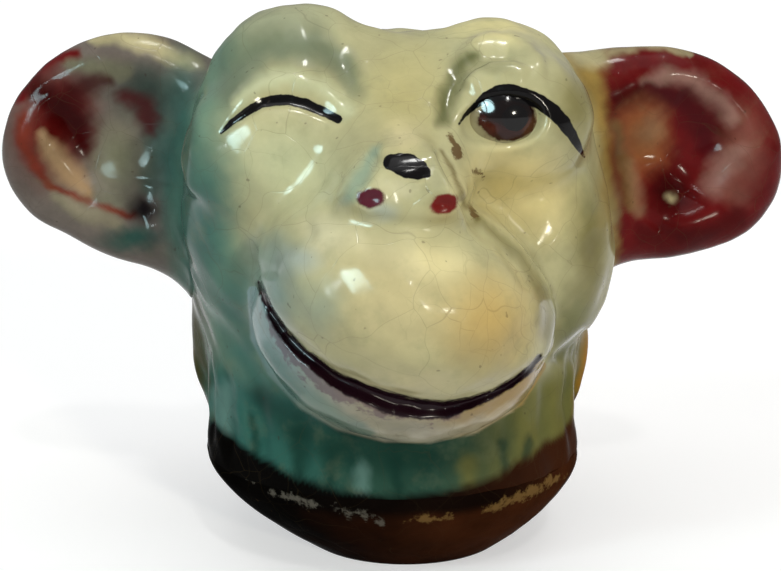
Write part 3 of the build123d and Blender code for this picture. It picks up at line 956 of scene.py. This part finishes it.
def lay_lip(points, colour):
    """Lays the lip's colours, cool at the left and warm at the right, with painted shade on its lower left
    and a painted highlight along its rim.
    """
    c = colours()
    u, v = brushed(points)
    share = along(u, v, LIP)[1]
    tone = wash(coat(c.lip_cool, points), c.lip_pale, smooth(*LIP_PALE_FROM, share))
    tone = wash(tone, c.lip_peach_and_warm_light, smooth(*LIP_PEACH_FROM, share))
    # Painted highlight along the rim, and painted shade in teal on the lower left
    tone = lay_washes(u, v, tone, (("lip_rim_highlight", 0.5, LIP_RIM_HIGHLIGHT), ("teal", 0.65, LIP_SHADE)))
    away, share, width = along(*photo(points), LIP)
    return wash(colour, tone, smooth(*LIP_EDGE, np.abs(away) / width) * smooth(*LIP_END, points[:, 1]))


# Columns between which the neck's colours change from left to right
NECK_GREEN_COLUMNS = (250, 400)
NECK_OLIVE_COLUMNS = (430, 545)
FLUTE_PALER_COLUMNS = (430, 560)
SHADOW_PALER_COLUMNS = (420, 480)
DRIP_COLUMNS = (380, 450)
# Heights and depths, in millimetres, between which the neck's colours and the fur's start
NECK_PAINT_TOP = (12.4, 8.0)
NECK_PAINT_FRONT = (-24.0, -19.0)
FUR_SIDES = (-14.0, -8.0)
# Dark rim above the foot: its height in the middle, how far it climbs to the sides, and its soft edge
RIM_HEIGHT = 0.3
RIM_CLIMB = 3.2
RIM_CLIMB_FROM = (3.0, 18.0)
RIM_WAVER = 0.5
RIM_EDGE = (0.6, 0.5)
RIM_WARM_FROM = (0.0, 20.0)
# Streaks are drawn out down the neck; drips cover by these shares
STREAK_STRETCH = np.array((1, 1, 0.2))
DRIP_COVER = 0.7
LEFT_DRIP_COVER = 0.6


def lay_neck(points, colour):
    """Lays the streaked neck with its painted shade, the fur's colours at its sides and the dark rim above
    the foot.
    """
    c = colours()
    u, v = brushed(points)
    x, y, z = (points - NECK_PLACE).T
    # The neck's middle is darker green: glaze, and painted shade under the muzzle
    tone = wash(coat(c.teal, points), c.neck_green_and_shade, smooth(*NECK_GREEN_COLUMNS, u))
    # Olive at the neck's right: glaze, and painted warm light from the right
    tone = wash(tone, c.neck_olive_and_warm_light, smooth(*NECK_OLIVE_COLUMNS, u))
    # Darker in the flutes' grooves: painted shade, partly dark glaze streaks
    streaks = flute_share(points) * (0.7 + 0.3 * uneven(points * STREAK_STRETCH, 3))
    tone = wash(tone, c.flute_dark_and_shade, streaks * (0.6 - 0.35 * smooth(*FLUTE_PALER_COLUMNS, u)))
    shadow = soft_band(u, v, UNDER_LIP)
    tone = wash(tone, c.neck_dark, shadow * (0.7 - 0.45 * smooth(*SHADOW_PALER_COLUMNS, u)))
    tone = lay_washes(u, v, tone, (("drip", LEFT_DRIP_COVER, LEFT_DRIP),))
    tone = lay_washes(u, v, tone, [("neck_dark", DRIP_COVER, path) for path in DARK_DRIPS])
    for path in PALE_DRIPS:
        drip = DRIP_COVER * soft_band(u, v, path)
        tone = wash(tone, c.drip, drip * smooth(DRIP_COLUMNS[1], DRIP_COLUMNS[0], u))
        tone = wash(tone, c.neck_olive_and_warm_light, drip * smooth(*DRIP_COLUMNS, u))
    colour = wash(colour, tone, smooth(*NECK_PAINT_TOP, z) * smooth(*NECK_PAINT_FRONT, y))
    sides = smooth(*FUR_SIDES, y)
    colour = wash(colour, c.fur_shade, sides * soft_band(u, v, FUR_LEFT))
    colour = wash(colour, c.ochre, sides * soft_band(u, v, FUR_RIGHT))
    rim = RIM_HEIGHT + RIM_CLIMB * smooth(*RIM_CLIMB_FROM, np.abs(x)) + RIM_WAVER * uneven(points, 4)
    # The rim turns warm at the right: glaze, and painted sheen
    dark = wash(coat(c.foot, points), c.foot_warm_and_sheen, smooth(*RIM_WARM_FROM, x))
    return wash(colour, dark, smooth(rim + RIM_EDGE[0], rim - RIM_EDGE[1], z))


# The fur darkens in its strokes and low down, gives way to the face's glaze, and ends at the dark rim
FUR_HOLLOW = (0.1, -FUR_STROKE_HEIGHT)
FUR_PATCH = (0.2, 0.8)
FUR_LOW = (8.0, 0.5)
FUR_TO_FACE = (9.0, 4.5)
FUR_RIM = (3.1, 2.0)


def back_colour(points):
    """Ochre fur behind, blended into the face's glaze at the parting line."""
    c = colours()
    x, y, z = (points - NECK_PLACE).T
    colour = wash(coat(c.ochre, points), c.fur_dark, smooth(*FUR_HOLLOW, fur_waves(points)) * 0.5)
    dark = 0.3 * smooth(*FUR_PATCH, uneven(points, 5)) + 0.5 * smooth(*FUR_LOW, z)
    colour = wash(colour, c.fur_dark, dark)
    colour = wash(colour, face_colour(points), smooth(*FUR_TO_FACE, y + 0.8 * np.sin(0.9 * z)))
    return wash(colour, c.foot, smooth(*FUR_RIM, z + RIM_WAVER * uneven(points, 4)))


def back_layers(points):
    """Glaze colour of the back."""
    return {"glaze": back_colour(points)}


# Behind these depths, marks that are drawn on the front are pushed out of reach
MARKS_AWAY = 6.0
FACE_MARKS_END = (-4.0, -1.0)
FOOT_MARKS_END = (-6.0, -2.0)


def nearest(u, v, paths):
    """Signed distance in millimetres to the nearest of some brush strokes."""
    return np.min([stroke(u, v, path) for path in paths], axis=0)


def face_layers(points):
    """Glaze colour, and the distance to each kind of enamel."""
    u, v = photo(points)
    away = MARKS_AWAY * smooth(*FACE_MARKS_END, points[:, 1])
    return {"glaze": face_colour(points),
            "ink": nearest(u, v, (WINK, LASH, NOSE_PATCH)) + away,
            "mouth": stroke(u, v, MOUTH) + away,
            "mouth_stain": stroke(u, v, MOUTH_STAIN) + away,
            "chips": nearest(u, v, CHIPS) + away,
            "nostril_left": blot(u, v, NOSTRIL_LEFT, NOSTRIL_REACH, NOSTRIL_LEFT_TURN) + away,
            "nostril_right": blot(u, v, NOSTRIL_RIGHT, NOSTRIL_REACH, NOSTRIL_RIGHT_TURN) + away}


def eye_layers(points):
    """Glaze colour of the ball, and the distance to the iris, the spots in it and the pupil."""
    u, v = photo(points)
    # A warm tint at the ball's right corner: glaze, and painted warm light from the right
    colour = lay_washes(u, v, coat(colours().sclera, points), (("muzzle_warm_glaze_and_light", 0.7, EYE_CORNER),))
    iris = blot(u, v, IRIS_CENTRE, IRIS_REACH)
    layers = {name: np.maximum(blot(u, v, *spot), iris) for name, spot in IRIS_SPOTS.items()}
    ink = np.minimum(stroke(u, v, LASH), blot(u, v, PUPIL_CENTRE, PUPIL_REACH))
    return {"glaze": colour, "iris": iris, **layers, "ink": ink}


def left_ear_layers(points):
    """Glaze colour of the left ear: grey with crimson, cream and tan in its cup, darkened as painted shade
    in the bowl and at the root.
    """
    u, v = brushed(points)
    colour = lay_washes(u, v, coat(colours().ear_grey, points), LEFT_EAR_WASHES, EAR_FIRMNESS)
    return {"glaze": ear_back(points, "left", colour)}


def right_ear_layers(points):
    """Glaze colour of the right ear: crimson with pale mauve and orange in its cup, and a tan root."""
    c = colours()
    u, v = brushed(points)
    colour = lay_washes(u, v, coat(c.crimson, points), RIGHT_EAR_WASHES, EAR_FIRMNESS)
    root = RIGHT_ROOT_COLUMN + RIGHT_ROOT_SLANT * v
    colour = wash(colour, c.root_tan, smooth(root + RIGHT_ROOT_EDGE[0], root - RIGHT_ROOT_EDGE[1], u))
    colour = wash(colour, c.ear_top, soft_spot(u, v, *RIGHT_ROOT_CREAM, RIGHT_ROOT_FIRMNESS))
    return {"glaze": ear_back(points, "right", colour)}


# Depths behind an ear's middle where its fur starts, and distances from the head where its own glaze ends
EAR_FUR_FROM = (0.3, 1.8)
EAR_GLAZE_END = (2.4, 0.2)


def ear_back(points, side, colour):
    """Keeps an ear's painted front, with fur on its back and the head's glaze round its root."""
    c = colours()
    comb = np.sin(1.9 * points[:, 0] + 1.3 * np.sin(0.45 * points[:, 2]) + 2.0 * uneven(points, 9))
    fur = wash(coat(c.ochre, points), c.fur_dark, 0.2 + 0.2 * comb)
    colour = wash(colour, fur, smooth(*EAR_FUR_FROM, ear_local(points, side)[:, 1]))
    at_head = smooth(*EAR_GLAZE_END, head_field(points) + 0.5 * uneven(points, 8))
    return wash(colour, back_colour(points), at_head)


# The foot is warmer at its right, partly as painted sheen, and dark at its top: distances across, and
# depths below the neck
FOOT_WARM_FROM = (-12.0, 12.0)
FOOT_TOP_FROM = (2.4, 0.9)
FOOT_TOP_END = (18.0, 8.0)


def foot_layers(points):
    """Brown glaze, and the distance to the worn marks, which also paint the shoulder's highlight."""
    c = colours()
    u, v = photo(points)
    x, y, z = points.T
    away = MARKS_AWAY * smooth(*FOOT_MARKS_END, y)
    warm = smooth(*FOOT_WARM_FROM, x + 3.0 * uneven(points, 5))
    colour = wash(coat(c.foot, points), c.foot_warm_and_sheen, warm)
    low, high = NECK_BOTTOM - np.array(FOOT_TOP_FROM)
    top = smooth(low, high, z + 0.4 * uneven(points, 4))
    colour = wash(colour, c.foot, 0.9 * top * smooth(*FOOT_TOP_END, x))
    return {"glaze": colour, "scratches": nearest(u, v, SHOULDER_SCRATCHES_AND_GLINTS) + away,
            "streaks": nearest(u, v, SHOULDER_STREAKS_AND_GLINTS) + away}


# Materials

def add_node(tree, kind, **settings):
    """Adds a shader node with its settings."""
    made = tree.nodes.new(kind)
    for key, value in settings.items():
        setattr(made, key, value)
    return made


def feed(tree, socket, value):
    """Links an output to a socket, or sets the socket's value."""
    if isinstance(value, bpy.types.NodeSocket):
        tree.links.new(value, socket)
    else:
        socket.default_value = value


def sum_of(tree, operation, first, second):
    """One sum worked out from two values."""
    made = add_node(tree, "ShaderNodeMath", operation=operation)
    feed(tree, made.inputs[0], first)
    feed(tree, made.inputs[1], second)
    return made.outputs[0]


def ramp(tree, value, low, high, start=0.0, end=1.0):
    """Soft step of a value between two limits."""
    made = add_node(tree, "ShaderNodeMapRange", interpolation_type="SMOOTHSTEP")
    limits = {"Value": value, "From Min": low, "From Max": high, "To Min": start, "To Max": end}
    for name, given in limits.items():
        feed(tree, made.inputs[name], given)
    return made.outputs["Result"]


def tint(tree, amount, below, above):
    """Mixes one plain colour over a painted one."""
    made = add_node(tree, "ShaderNodeMix", data_type="RGBA")
    for index, given in ((0, amount), (6, below), (7, (*above, 1.0))):
        feed(tree, made.inputs[index], given)
    return made.outputs[2]


def noise(tree, place, scale, detail=3.0, roughness=0.5):
    """Cloudy noise between 0 and 1."""
    made = add_node(tree, "ShaderNodeTexNoise")
    feed(tree, made.inputs["Vector"], place)
    for name, given in (("Scale", scale), ("Detail", detail), ("Roughness", roughness)):
        made.inputs[name].default_value = given
    return made.outputs["Fac"]


def cracks(tree, place, cell, width, seed_shift):
    """Net of fine cracks: 1 in a crack, 0 between, for cells of about the given size in metres."""
    warp = add_node(tree, "ShaderNodeTexNoise")
    feed(tree, warp.inputs["Vector"], place)
    warp.inputs["Scale"].default_value = 0.7 / cell
    spread = add_node(tree, "ShaderNodeVectorMath", operation="MULTIPLY_ADD")
    feed(tree, spread.inputs[0], warp.outputs["Color"])
    spread.inputs[1].default_value = (cell, cell, cell)
    feed(tree, spread.inputs[2], place)
    moved = add_node(tree, "ShaderNodeMapping")
    feed(tree, moved.inputs["Vector"], spread.outputs[0])
    moved.inputs["Location"].default_value = (seed_shift, 2 * seed_shift, 0)
    net = add_node(tree, "ShaderNodeTexVoronoi", feature="DISTANCE_TO_EDGE")
    feed(tree, net.inputs["Vector"], moved.outputs[0])
    net.inputs["Scale"].default_value = 1 / cell
    return ramp(tree, net.outputs["Distance"], width / cell, 0.0)


def attribute(tree, name):
    """Reads one of the layers painted on a piece."""
    return add_node(tree, "ShaderNodeAttribute", attribute_name=name)


# Grain in the glaze: waves in a metre, layers of detail, and how rough these are
CLOUD = (170.0, 5.0, 0.6)
STAIN = (260.0, 4.0, 0.6)
FINE_CRAZE = (90.0, 2.0)
SPECK = (1400.0, 1.0)
ENAMEL_GRAIN = (900.0, 4.0, 0.65)
RIPPLE = (420.0, 2.0)
RIPPLE_STRENGTH = 0.25
RIPPLE_HEIGHT = 0.00012
# Nets of cracks: the size of a cell and the width of a crack in metres, and a shift between the nets
WIDE_NET = (0.0066, 0.00005, 0.013)
FINE_NET = (0.0029, 0.00004, 0.029)
# Colours of what has settled in the glaze and its cracks, and how bright a glaze has to be to show stains
STAIN_COLOUR = linear("6F7458")
CRACK_COLOUR = linear("4A3E28")
SPECK_COLOUR = linear("3A2A1C")
STAINED_FROM = (0.01, 0.06)
# The glaze shines in front of one depth and is dull behind another
SHINY_FROM = -14.0
DULL_FROM = -9.0
# Low down, up to these heights above the neck's bottom, it shines only on the lip in front of the neck
LOW_SHINE = 0.05
LOW_UP_TO = 4.0
HIGH_FROM = 14.0
LIP_SHINY_FROM = -23.0
LIP_DULL_FROM = -20.0


def craze_net(tree, place):
    """Wide cracks everywhere and finer ones in patches: most in a crack, 0 between."""
    patches = ramp(tree, noise(tree, place, *FINE_CRAZE), 0.42, 0.62)
    wide = sum_of(tree, "MULTIPLY", cracks(tree, place, *WIDE_NET), 0.7)
    fine = sum_of(tree, "MULTIPLY", cracks(tree, place, *FINE_NET), patches)
    return sum_of(tree, "MAXIMUM", wide, sum_of(tree, "MULTIPLY", fine, 0.6))


def gloss(tree, place, shine, dull):
    """How strongly the glaze reflects: most in front, and low down only on the lip."""
    axes = add_node(tree, "ShaderNodeSeparateXYZ")
    feed(tree, axes.inputs[0], place)
    front = ramp(tree, axes.outputs["Y"], DULL_FROM * MM, SHINY_FROM * MM, dull, shine)
    low, high = (NECK_BOTTOM + LOW_UP_TO) * MM, (NECK_BOTTOM + HIGH_FROM) * MM
    rise = ramp(tree, axes.outputs["Z"], low, high, LOW_SHINE, 1.0)
    at_lip = ramp(tree, axes.outputs["Y"], LIP_DULL_FROM * MM, LIP_SHINY_FROM * MM)
    return sum_of(tree, "MULTIPLY", front, sum_of(tree, "MAXIMUM", rise, at_lip))


def glazed(name, enamels=(), craze=0.3, mottle=0.12, rough=0.16, stained=0.22, shine=0.14, dull=0.01):
    """Glossy crazed glaze over the painted colours, with crisp enamel marks on top.

    Each enamel is an attribute, a colour, how soft and how ragged its edge is, in millimetres,
    and how thickly it covers."""
    material = bpy.data.materials.new(name)
    material.use_nodes = True
    tree = material.node_tree
    shader = tree.nodes["Principled BSDF"]
    place = add_node(tree, "ShaderNodeTexCoord").outputs["Object"]
    cloud = noise(tree, place, *CLOUD)
    shade = add_node(tree, "ShaderNodeHueSaturation")
    feed(tree, shade.inputs["Value"], ramp(tree, cloud, 0.25, 0.75, 1.0 - mottle, 1.0 + mottle))
    feed(tree, shade.inputs["Color"], attribute(tree, "glaze").outputs["Color"])
    colour = shade.outputs["Color"]
    stain = ramp(tree, noise(tree, place, *STAIN), 0.52, 0.72, 0.0, stained)
    bright = add_node(tree, "ShaderNodeRGBToBW")
    feed(tree, bright.inputs[0], colour)
    stain = sum_of(tree, "MULTIPLY", stain, ramp(tree, bright.outputs[0], *STAINED_FROM))
    colour = tint(tree, stain, colour, STAIN_COLOUR)
    net = craze_net(tree, place)
    colour = tint(tree, sum_of(tree, "MULTIPLY", net, craze), colour, CRACK_COLOUR)
    speck = ramp(tree, noise(tree, place, *SPECK), 0.74, 0.79)
    colour = tint(tree, sum_of(tree, "MULTIPLY", speck, 0.4), colour, SPECK_COLOUR)
    grain = noise(tree, place, *ENAMEL_GRAIN)
    for layer, enamel, softness, ragged, cover in enamels:
        edge = sum_of(tree, "MULTIPLY", sum_of(tree, "SUBTRACT", grain, 0.5), ragged)
        reach = sum_of(tree, "ADD", attribute(tree, layer).outputs["Fac"], edge)
        colour = tint(tree, ramp(tree, reach, softness, -softness, 0.0, cover), colour, tuple(enamel))
    feed(tree, shader.inputs["Base Color"], colour)
    feed(tree, shader.inputs["Roughness"], ramp(tree, cloud, 0.3, 0.7, rough * 0.6, rough * 1.4))
    feed(tree, shader.inputs["Specular IOR Level"], gloss(tree, place, shine, dull))
    bump = add_node(tree, "ShaderNodeBump")
    bump.inputs["Strength"].default_value = RIPPLE_STRENGTH
    bump.inputs["Distance"].default_value = RIPPLE_HEIGHT
    ripple = noise(tree, place, *RIPPLE)
    feed(tree, bump.inputs["Height"], sum_of(tree, "SUBTRACT", ripple, sum_of(tree, "MULTIPLY", net, 0.5)))
    feed(tree, shader.inputs["Normal"], bump.outputs["Normal"])
    return material


# The turned foot: the radius it stands on, how far its bottom is shifted to the right, the drop of its
# shoulder below the neck, the curve of its side, a ring inside its top, and the gap left at its axis
FOOT_REST_RADIUS = 10.0
FOOT_LEAN = 1.3
FOOT_SHOULDER_DROP = 0.7
FOOT_CURVE = 1.5
FOOT_RINGS = 24
FOOT_STEPS = 180
FOOT_TOP_RING = 14.0
AXIS_GAP = 0.05
SHARP_ANGLE = 40


def foot_profile(hole, deep):
    """Radius and height along the foot's outline, from the vent hole's end to the middle of the top."""
    flare = FOOT_WIDEST - FOOT_REST_RADIUS
    shoulder = NECK_BOTTOM - FOOT_SHOULDER_DROP
    profile = [(AXIS_GAP, deep), (hole, deep), (hole, 0.0), (FOOT_REST_RADIUS, 0.0)]
    for share in np.linspace(0.04, 1.0, FOOT_RINGS):
        profile.append((FOOT_REST_RADIUS + flare * (1 - (1 - share) ** FOOT_CURVE), shoulder * share))
    return profile + [(FOOT_WIDEST, NECK_BOTTOM), (FOOT_TOP_RING, NECK_BOTTOM), (AXIS_GAP, NECK_BOTTOM)]


def hand_turned(points, hole):
    """The foot's points with slight waves, and outside the vent hole with the foot's lean."""
    x, y, z = points.T
    lift = 0.5 * hand_waves(points) * smooth(0.2, 2.0, z) * smooth(NECK_BOTTOM - 0.2, NECK_BOTTOM - 1.5, z)
    outer = points * np.array((1, 1, 0))
    outer /= np.maximum(np.linalg.norm(outer, axis=1), 1e-6)[:, None]
    lean = FOOT_LEAN * np.clip(1 - z / NECK_BOTTOM, 0, 1)
    lean *= np.hypot(x, y) > hole + 0.1
    moved = points + outer * lift[:, None]
    moved[:, 0] += lean
    return moved


# Lamps: name, direction towards them, strength, spread in degrees and colour
SUNS = (
    ("cool_window", (-0.62, -0.6, 0.51), 0.5, 9, (0.80, 0.96, 1.0)),
    ("cool_side", (-0.81, -0.54, 0.2), 0.3, 4, (0.82, 0.96, 1.0)),
    ("warm_lamp", (0.41, -0.88, 0.25), 1.1, 5, (1.0, 0.95, 0.80)),
    ("ceiling_lamp", (0.15, -0.65, 0.74), 0.4, 4, (1.0, 0.99, 0.95)),
    ("overhead", (0.05, -0.25, 1.0), 1.0, 50, (1.0, 1.0, 1.0)),
    ("window_glint", (-0.60, -0.68, 0.43), 6.0, 25, (0.62, 0.95, 1.0)),
    ("lamp_glint", (0.12, -0.1, 0.98), 2.2, 12, (1.0, 1.0, 0.96)),
)
WORLD_LIGHT = 0.34
WHITE = (1, 1, 1, 1)
FLOOR_SIZE = 6.0
FLOOR_GREY = (0.6, 0.6, 0.6, 1)
FLOOR_ROUGHNESS = 0.9
FLOOR_GLOW = 0.5


def floor_material():
    """Pale matt floor that looks white, also in reflections, and keeps the shadow."""
    pale = bpy.data.materials.new("pale_floor")
    pale.use_nodes = True
    tree = pale.node_tree
    shader = tree.nodes["Principled BSDF"]
    shader.inputs["Base Color"].default_value = FLOOR_GREY
    shader.inputs["Roughness"].default_value = FLOOR_ROUGHNESS
    shader.inputs["Specular IOR Level"].default_value = 0.0
    shader.inputs["Emission Color"].default_value = WHITE
    rays = add_node(tree, "ShaderNodeLightPath").outputs
    seen = sum_of(tree, "MAXIMUM", rays["Is Camera Ray"], rays["Is Glossy Ray"])
    seen = sum_of(tree, "MAXIMUM", seen, rays["Is Transmission Ray"])
    feed(tree, shader.inputs["Emission Strength"], sum_of(tree, "MULTIPLY", seen, FLOOR_GLOW))
    return pale


def hang_lamp(name, direction, strength, spread, colour):
    """Hangs one sun lamp; a glint lights reflections alone."""
    light = bpy.data.lights.new(name, "SUN")
    light.energy = strength
    light.angle = math.radians(spread)
    light.color = colour
    lamp = bpy.data.objects.new(name, light)
    bpy.context.collection.objects.link(lamp)
    lamp.visible_diffuse = not name.endswith("_glint")
    lamp.rotation_euler = Vector(direction).to_track_quat("Z", "Y").to_euler()


# The middle that each ball is pressed from, how far out its rays start, and an ear's rounds of settling
HEAD_CENTRE = NECK_PLACE + np.array((0.0, -5.0, 23.4))
HEAD_REACH = 60.0
EAR_CENTRE_SHIFT = np.array((0.0, 2.2, 0.0))
EAR_REACH = 30.0
EAR_ROUNDS = (30, 8)
EAR_LAST_ROUNDS = 4
IRIS_BULGE = 0.12


# Operators, one for each piece or group of like pieces

class FIGURINE_OT_head(bpy.types.Operator):
    """Model the face with its lip and enamel, and the fur at the back"""
    bl_idname = "figurine.head"
    bl_label = "Head"

    def execute(self, context):
        bm = new_ball(HEAD_CENTRE, radius=1.0, subdivisions=7)
        press(bm, head_field, HEAD_CENTRE, HEAD_REACH)
        relax(bm, head_field, rounds=2)
        refine(bm, in_front)
        relax(bm, head_field, rounds=3)
        refine(bm, near_mouth)
        relax(bm, head_field, rounds=2)
        raise_relief(bm, head_field, face_relief)
        carve_mouth(bm)
        shade_smooth(bm)
        cut_flat(bm, (0, 0, NECK_BOTTOM), (0, 0, -1))
        back = bm.copy()
        cut_flat(bm, (0, PARTING, 0), (0, 1, 0))
        cut_flat(back, (0, PARTING, 0), (0, -1, 0))
        c = colours()
        enamels = (("chips", c.chip, 0.12, 1.6, 0.9), ("nostril_left", c.maroon, 0.14, 0.6, 1.0),
                   ("nostril_right", c.red, 0.14, 0.6, 1.0), ("mouth_stain", c.mouth_stain, 0.3, 3.0, 0.6),
                   ("mouth", c.mouth, 0.12, 0.7, 1.0), ("ink", c.black, 0.05, 0.3, 1.0))
        finish_piece(bm, "face",
                     ("face_shell", "lower_lip", "wink_line", "lash_line", "nose_patch", "nostril_spots"),
                     glazed("face_glaze", enamels), face_layers)
        finish_piece(back, "back_fur", ("back_shell",), glazed("fur_glaze", craze=0.4),
                     back_layers)
        return {"FINISHED"}


class FIGURINE_OT_eye(bpy.types.Operator):
    """Model the open eye with its iris, pupil and lash"""
    bl_idname = "figurine.eye"
    bl_label = "Open eye"

    def execute(self, context):
        bm = new_ball(EYE_CENTRE, radius=EYE_RADIUS, subdivisions=6)
        points = get_points(bm)
        out = (points - EYE_CENTRE) / EYE_RADIUS
        bulge = IRIS_BULGE * soft_spot(*photo(points), IRIS_CENTRE, IRIS_BULGE_REACH)
        bulge *= smooth(0.0, -0.4, out[:, 1])
        set_points(bm, points + out * bulge[:, None])
        shade_smooth(bm)
        c = colours()
        # The iris's dark top is partly painted shadow of the upper lid
        enamels = (("iris", c.iris, 0.1, 0.8, 1.0), ("iris_red", c.iris_red, 0.4, 0.8, 0.9),
                   ("iris_brown", c.iris_brown, 0.4, 0.8, 0.8), ("iris_dark_and_lid_shadow", c.iris_dark_and_lid_shadow, 0.4, 0.8, 0.95),
                   ("ink", c.black, 0.06, 0.3, 1.0))
        finish_piece(bm, "open_eye", ("eyeball", "iris", "pupil"),
                     glazed("eye_glaze", enamels, craze=0.3, rough=0.1, shine=0.3), eye_layers)
        return {"FINISHED"}


class FIGURINE_OT_ears(bpy.types.Operator):
    """Model the two cupped ears"""
    bl_idname = "figurine.ears"
    bl_label = "Ears"

    def execute(self, context):
        kinds = (("left", LEFT_EAR_RELIEF, left_ear_layers), ("right", RIGHT_EAR_RELIEF, right_ear_layers))
        for side, marks, layers in kinds:
            centre = NECK_PLACE + np.array(EAR_PLACES[side][0]) + EAR_CENTRE_SHIFT
            field = partial(rooted_ear, side=side)
            bm = new_ball(centre, radius=1.0, subdivisions=5)
            press(bm, field, centre, EAR_REACH)
            for rounds in EAR_ROUNDS:
                relax(bm, field, rounds)
                refine(bm, everywhere)
            relax(bm, field, EAR_LAST_ROUNDS)
            raise_relief(bm, field, partial(ear_relief, side=side, marks=marks))
            shade_smooth(bm)
            material = glazed("ear_glaze_" + side, mottle=0.25, stained=0.15, shine=0.06, dull=0.06)
            finish_piece(bm, "ear_" + side + "_cup", ("ear_" + side,), material, layers)
        return {"FINISHED"}


class FIGURINE_OT_foot(bpy.types.Operator):
    """Model the dark turned foot with its vent hole"""
    bl_idname = "figurine.foot"
    bl_label = "Foot"

    def execute(self, context):
        vent = frame["record"]["mounts"][1]["dims"]
        hole = vent["r_mm"]
        bm = bmesh.new()
        verts = [bm.verts.new((r * MM, 0.0, z * MM)) for r, z in foot_profile(hole, vent["length_mm"])]
        edges = [bm.edges.new(pair) for pair in zip(verts[:-1], verts[1:])]
        bmesh.ops.spin(bm, geom=verts + edges, cent=(0, 0, 0), axis=(0, 0, 1), angle=math.tau,
                       steps=FOOT_STEPS, use_merge=True, use_duplicate=False)
        bmesh.ops.remove_doubles(bm, verts=bm.verts, dist=1e-6)
        bmesh.ops.holes_fill(bm, edges=bm.edges, sides=0)
        set_points(bm, hand_turned(get_points(bm), hole))
        for face in bm.faces:
            face.smooth = len(face.verts) < 5
        for edge in bm.edges:
            edge.smooth = edge.calc_face_angle(0.0) < math.radians(SHARP_ANGLE)
        c = colours()
        # Pale and tan flecks along the shoulder: worn glaze, and painted highlight
        enamels = (("scratches", c.scratch, 0.2, 2.2, 0.55), ("streaks", c.streak_and_glint, 0.2, 2.2, 0.65))
        material = glazed("foot_glaze", enamels, craze=0.2, mottle=0.3, stained=0.0,
                          shine=0.004, dull=0.001)
        finish_piece(bm, "turned_foot", ("foot",), material, foot_layers)
        return {"FINISHED"}


class FIGURINE_OT_stage(bpy.types.Operator):
    """Set the pale floor, the lights and the photograph's view"""
    bl_idname = "figurine.stage"
    bl_label = "Stage"

    def execute(self, context):
        scene = context.scene
        scene.view_settings.view_transform = "Standard"
        bm = bmesh.new()
        bmesh.ops.create_grid(bm, x_segments=1, y_segments=1, size=FLOOR_SIZE)
        mesh = bpy.data.meshes.new("floor")
        bm.to_mesh(mesh)
        bm.free()
        mesh.materials.append(floor_material())
        floor = bpy.data.objects.new("floor", mesh)
        context.collection.objects.link(floor)
        world = bpy.data.worlds.new("studio")
        scene.world = world
        world.use_nodes = True
        backdrop = world.node_tree.nodes["Background"]
        backdrop.inputs["Color"].default_value = WHITE
        backdrop.inputs["Strength"].default_value = WORLD_LIGHT
        for sun in SUNS:
            hang_lamp(*sun)
        camera = bpy.data.cameras.new("photograph")
        camera.sensor_width = SENSOR_WIDTH
        camera.lens = VIEW_FOCAL_PIXELS / IMAGE_WIDTH * SENSOR_WIDTH
        camera.clip_start = 0.01
        eye = bpy.data.objects.new("photograph", camera)
        context.collection.objects.link(eye)
        eye.location = VIEW_PLACE * MM
        eye.rotation_euler = (math.radians(90 - VIEW_PITCH), 0, math.radians(-VIEW_YAW))
        scene.camera = eye
        return {"FINISHED"}


class FIGURINE_PT_panel(bpy.types.Panel):
    """Buttons that build the figurine piece by piece"""
    bl_label = "Monkey Head Figurine"
    bl_idname = "FIGURINE_PT_panel"
    bl_space_type = "VIEW_3D"
    bl_region_type = "UI"
    bl_category = "Figurine"

    def draw(self, context):
        for operator in OPERATORS:
            self.layout.operator(operator.bl_idname)


OPERATORS = (FIGURINE_OT_head, FIGURINE_OT_eye, FIGURINE_OT_ears, FIGURINE_OT_foot, FIGURINE_OT_stage)
CLASSES = (FigurineSizes, FigurineColours) + OPERATORS + (FIGURINE_PT_panel,)


def register():
    for kind in CLASSES:
        bpy.utils.register_class(kind)
    bpy.types.Scene.figurine_sizes = PointerProperty(type=FigurineSizes)
    bpy.types.Scene.figurine_colours = PointerProperty(type=FigurineColours)


def unregister():
    del bpy.types.Scene.figurine_colours
    del bpy.types.Scene.figurine_sizes
    for kind in reversed(CLASSES):
        bpy.utils.unregister_class(kind)


def main():
    register()
    bpy.ops.figurine.head()
    bpy.ops.figurine.eye()
    bpy.ops.figurine.ears()
    bpy.ops.figurine.foot()
    bpy.ops.figurine.stage()


if __name__ == "__main__":
    main()
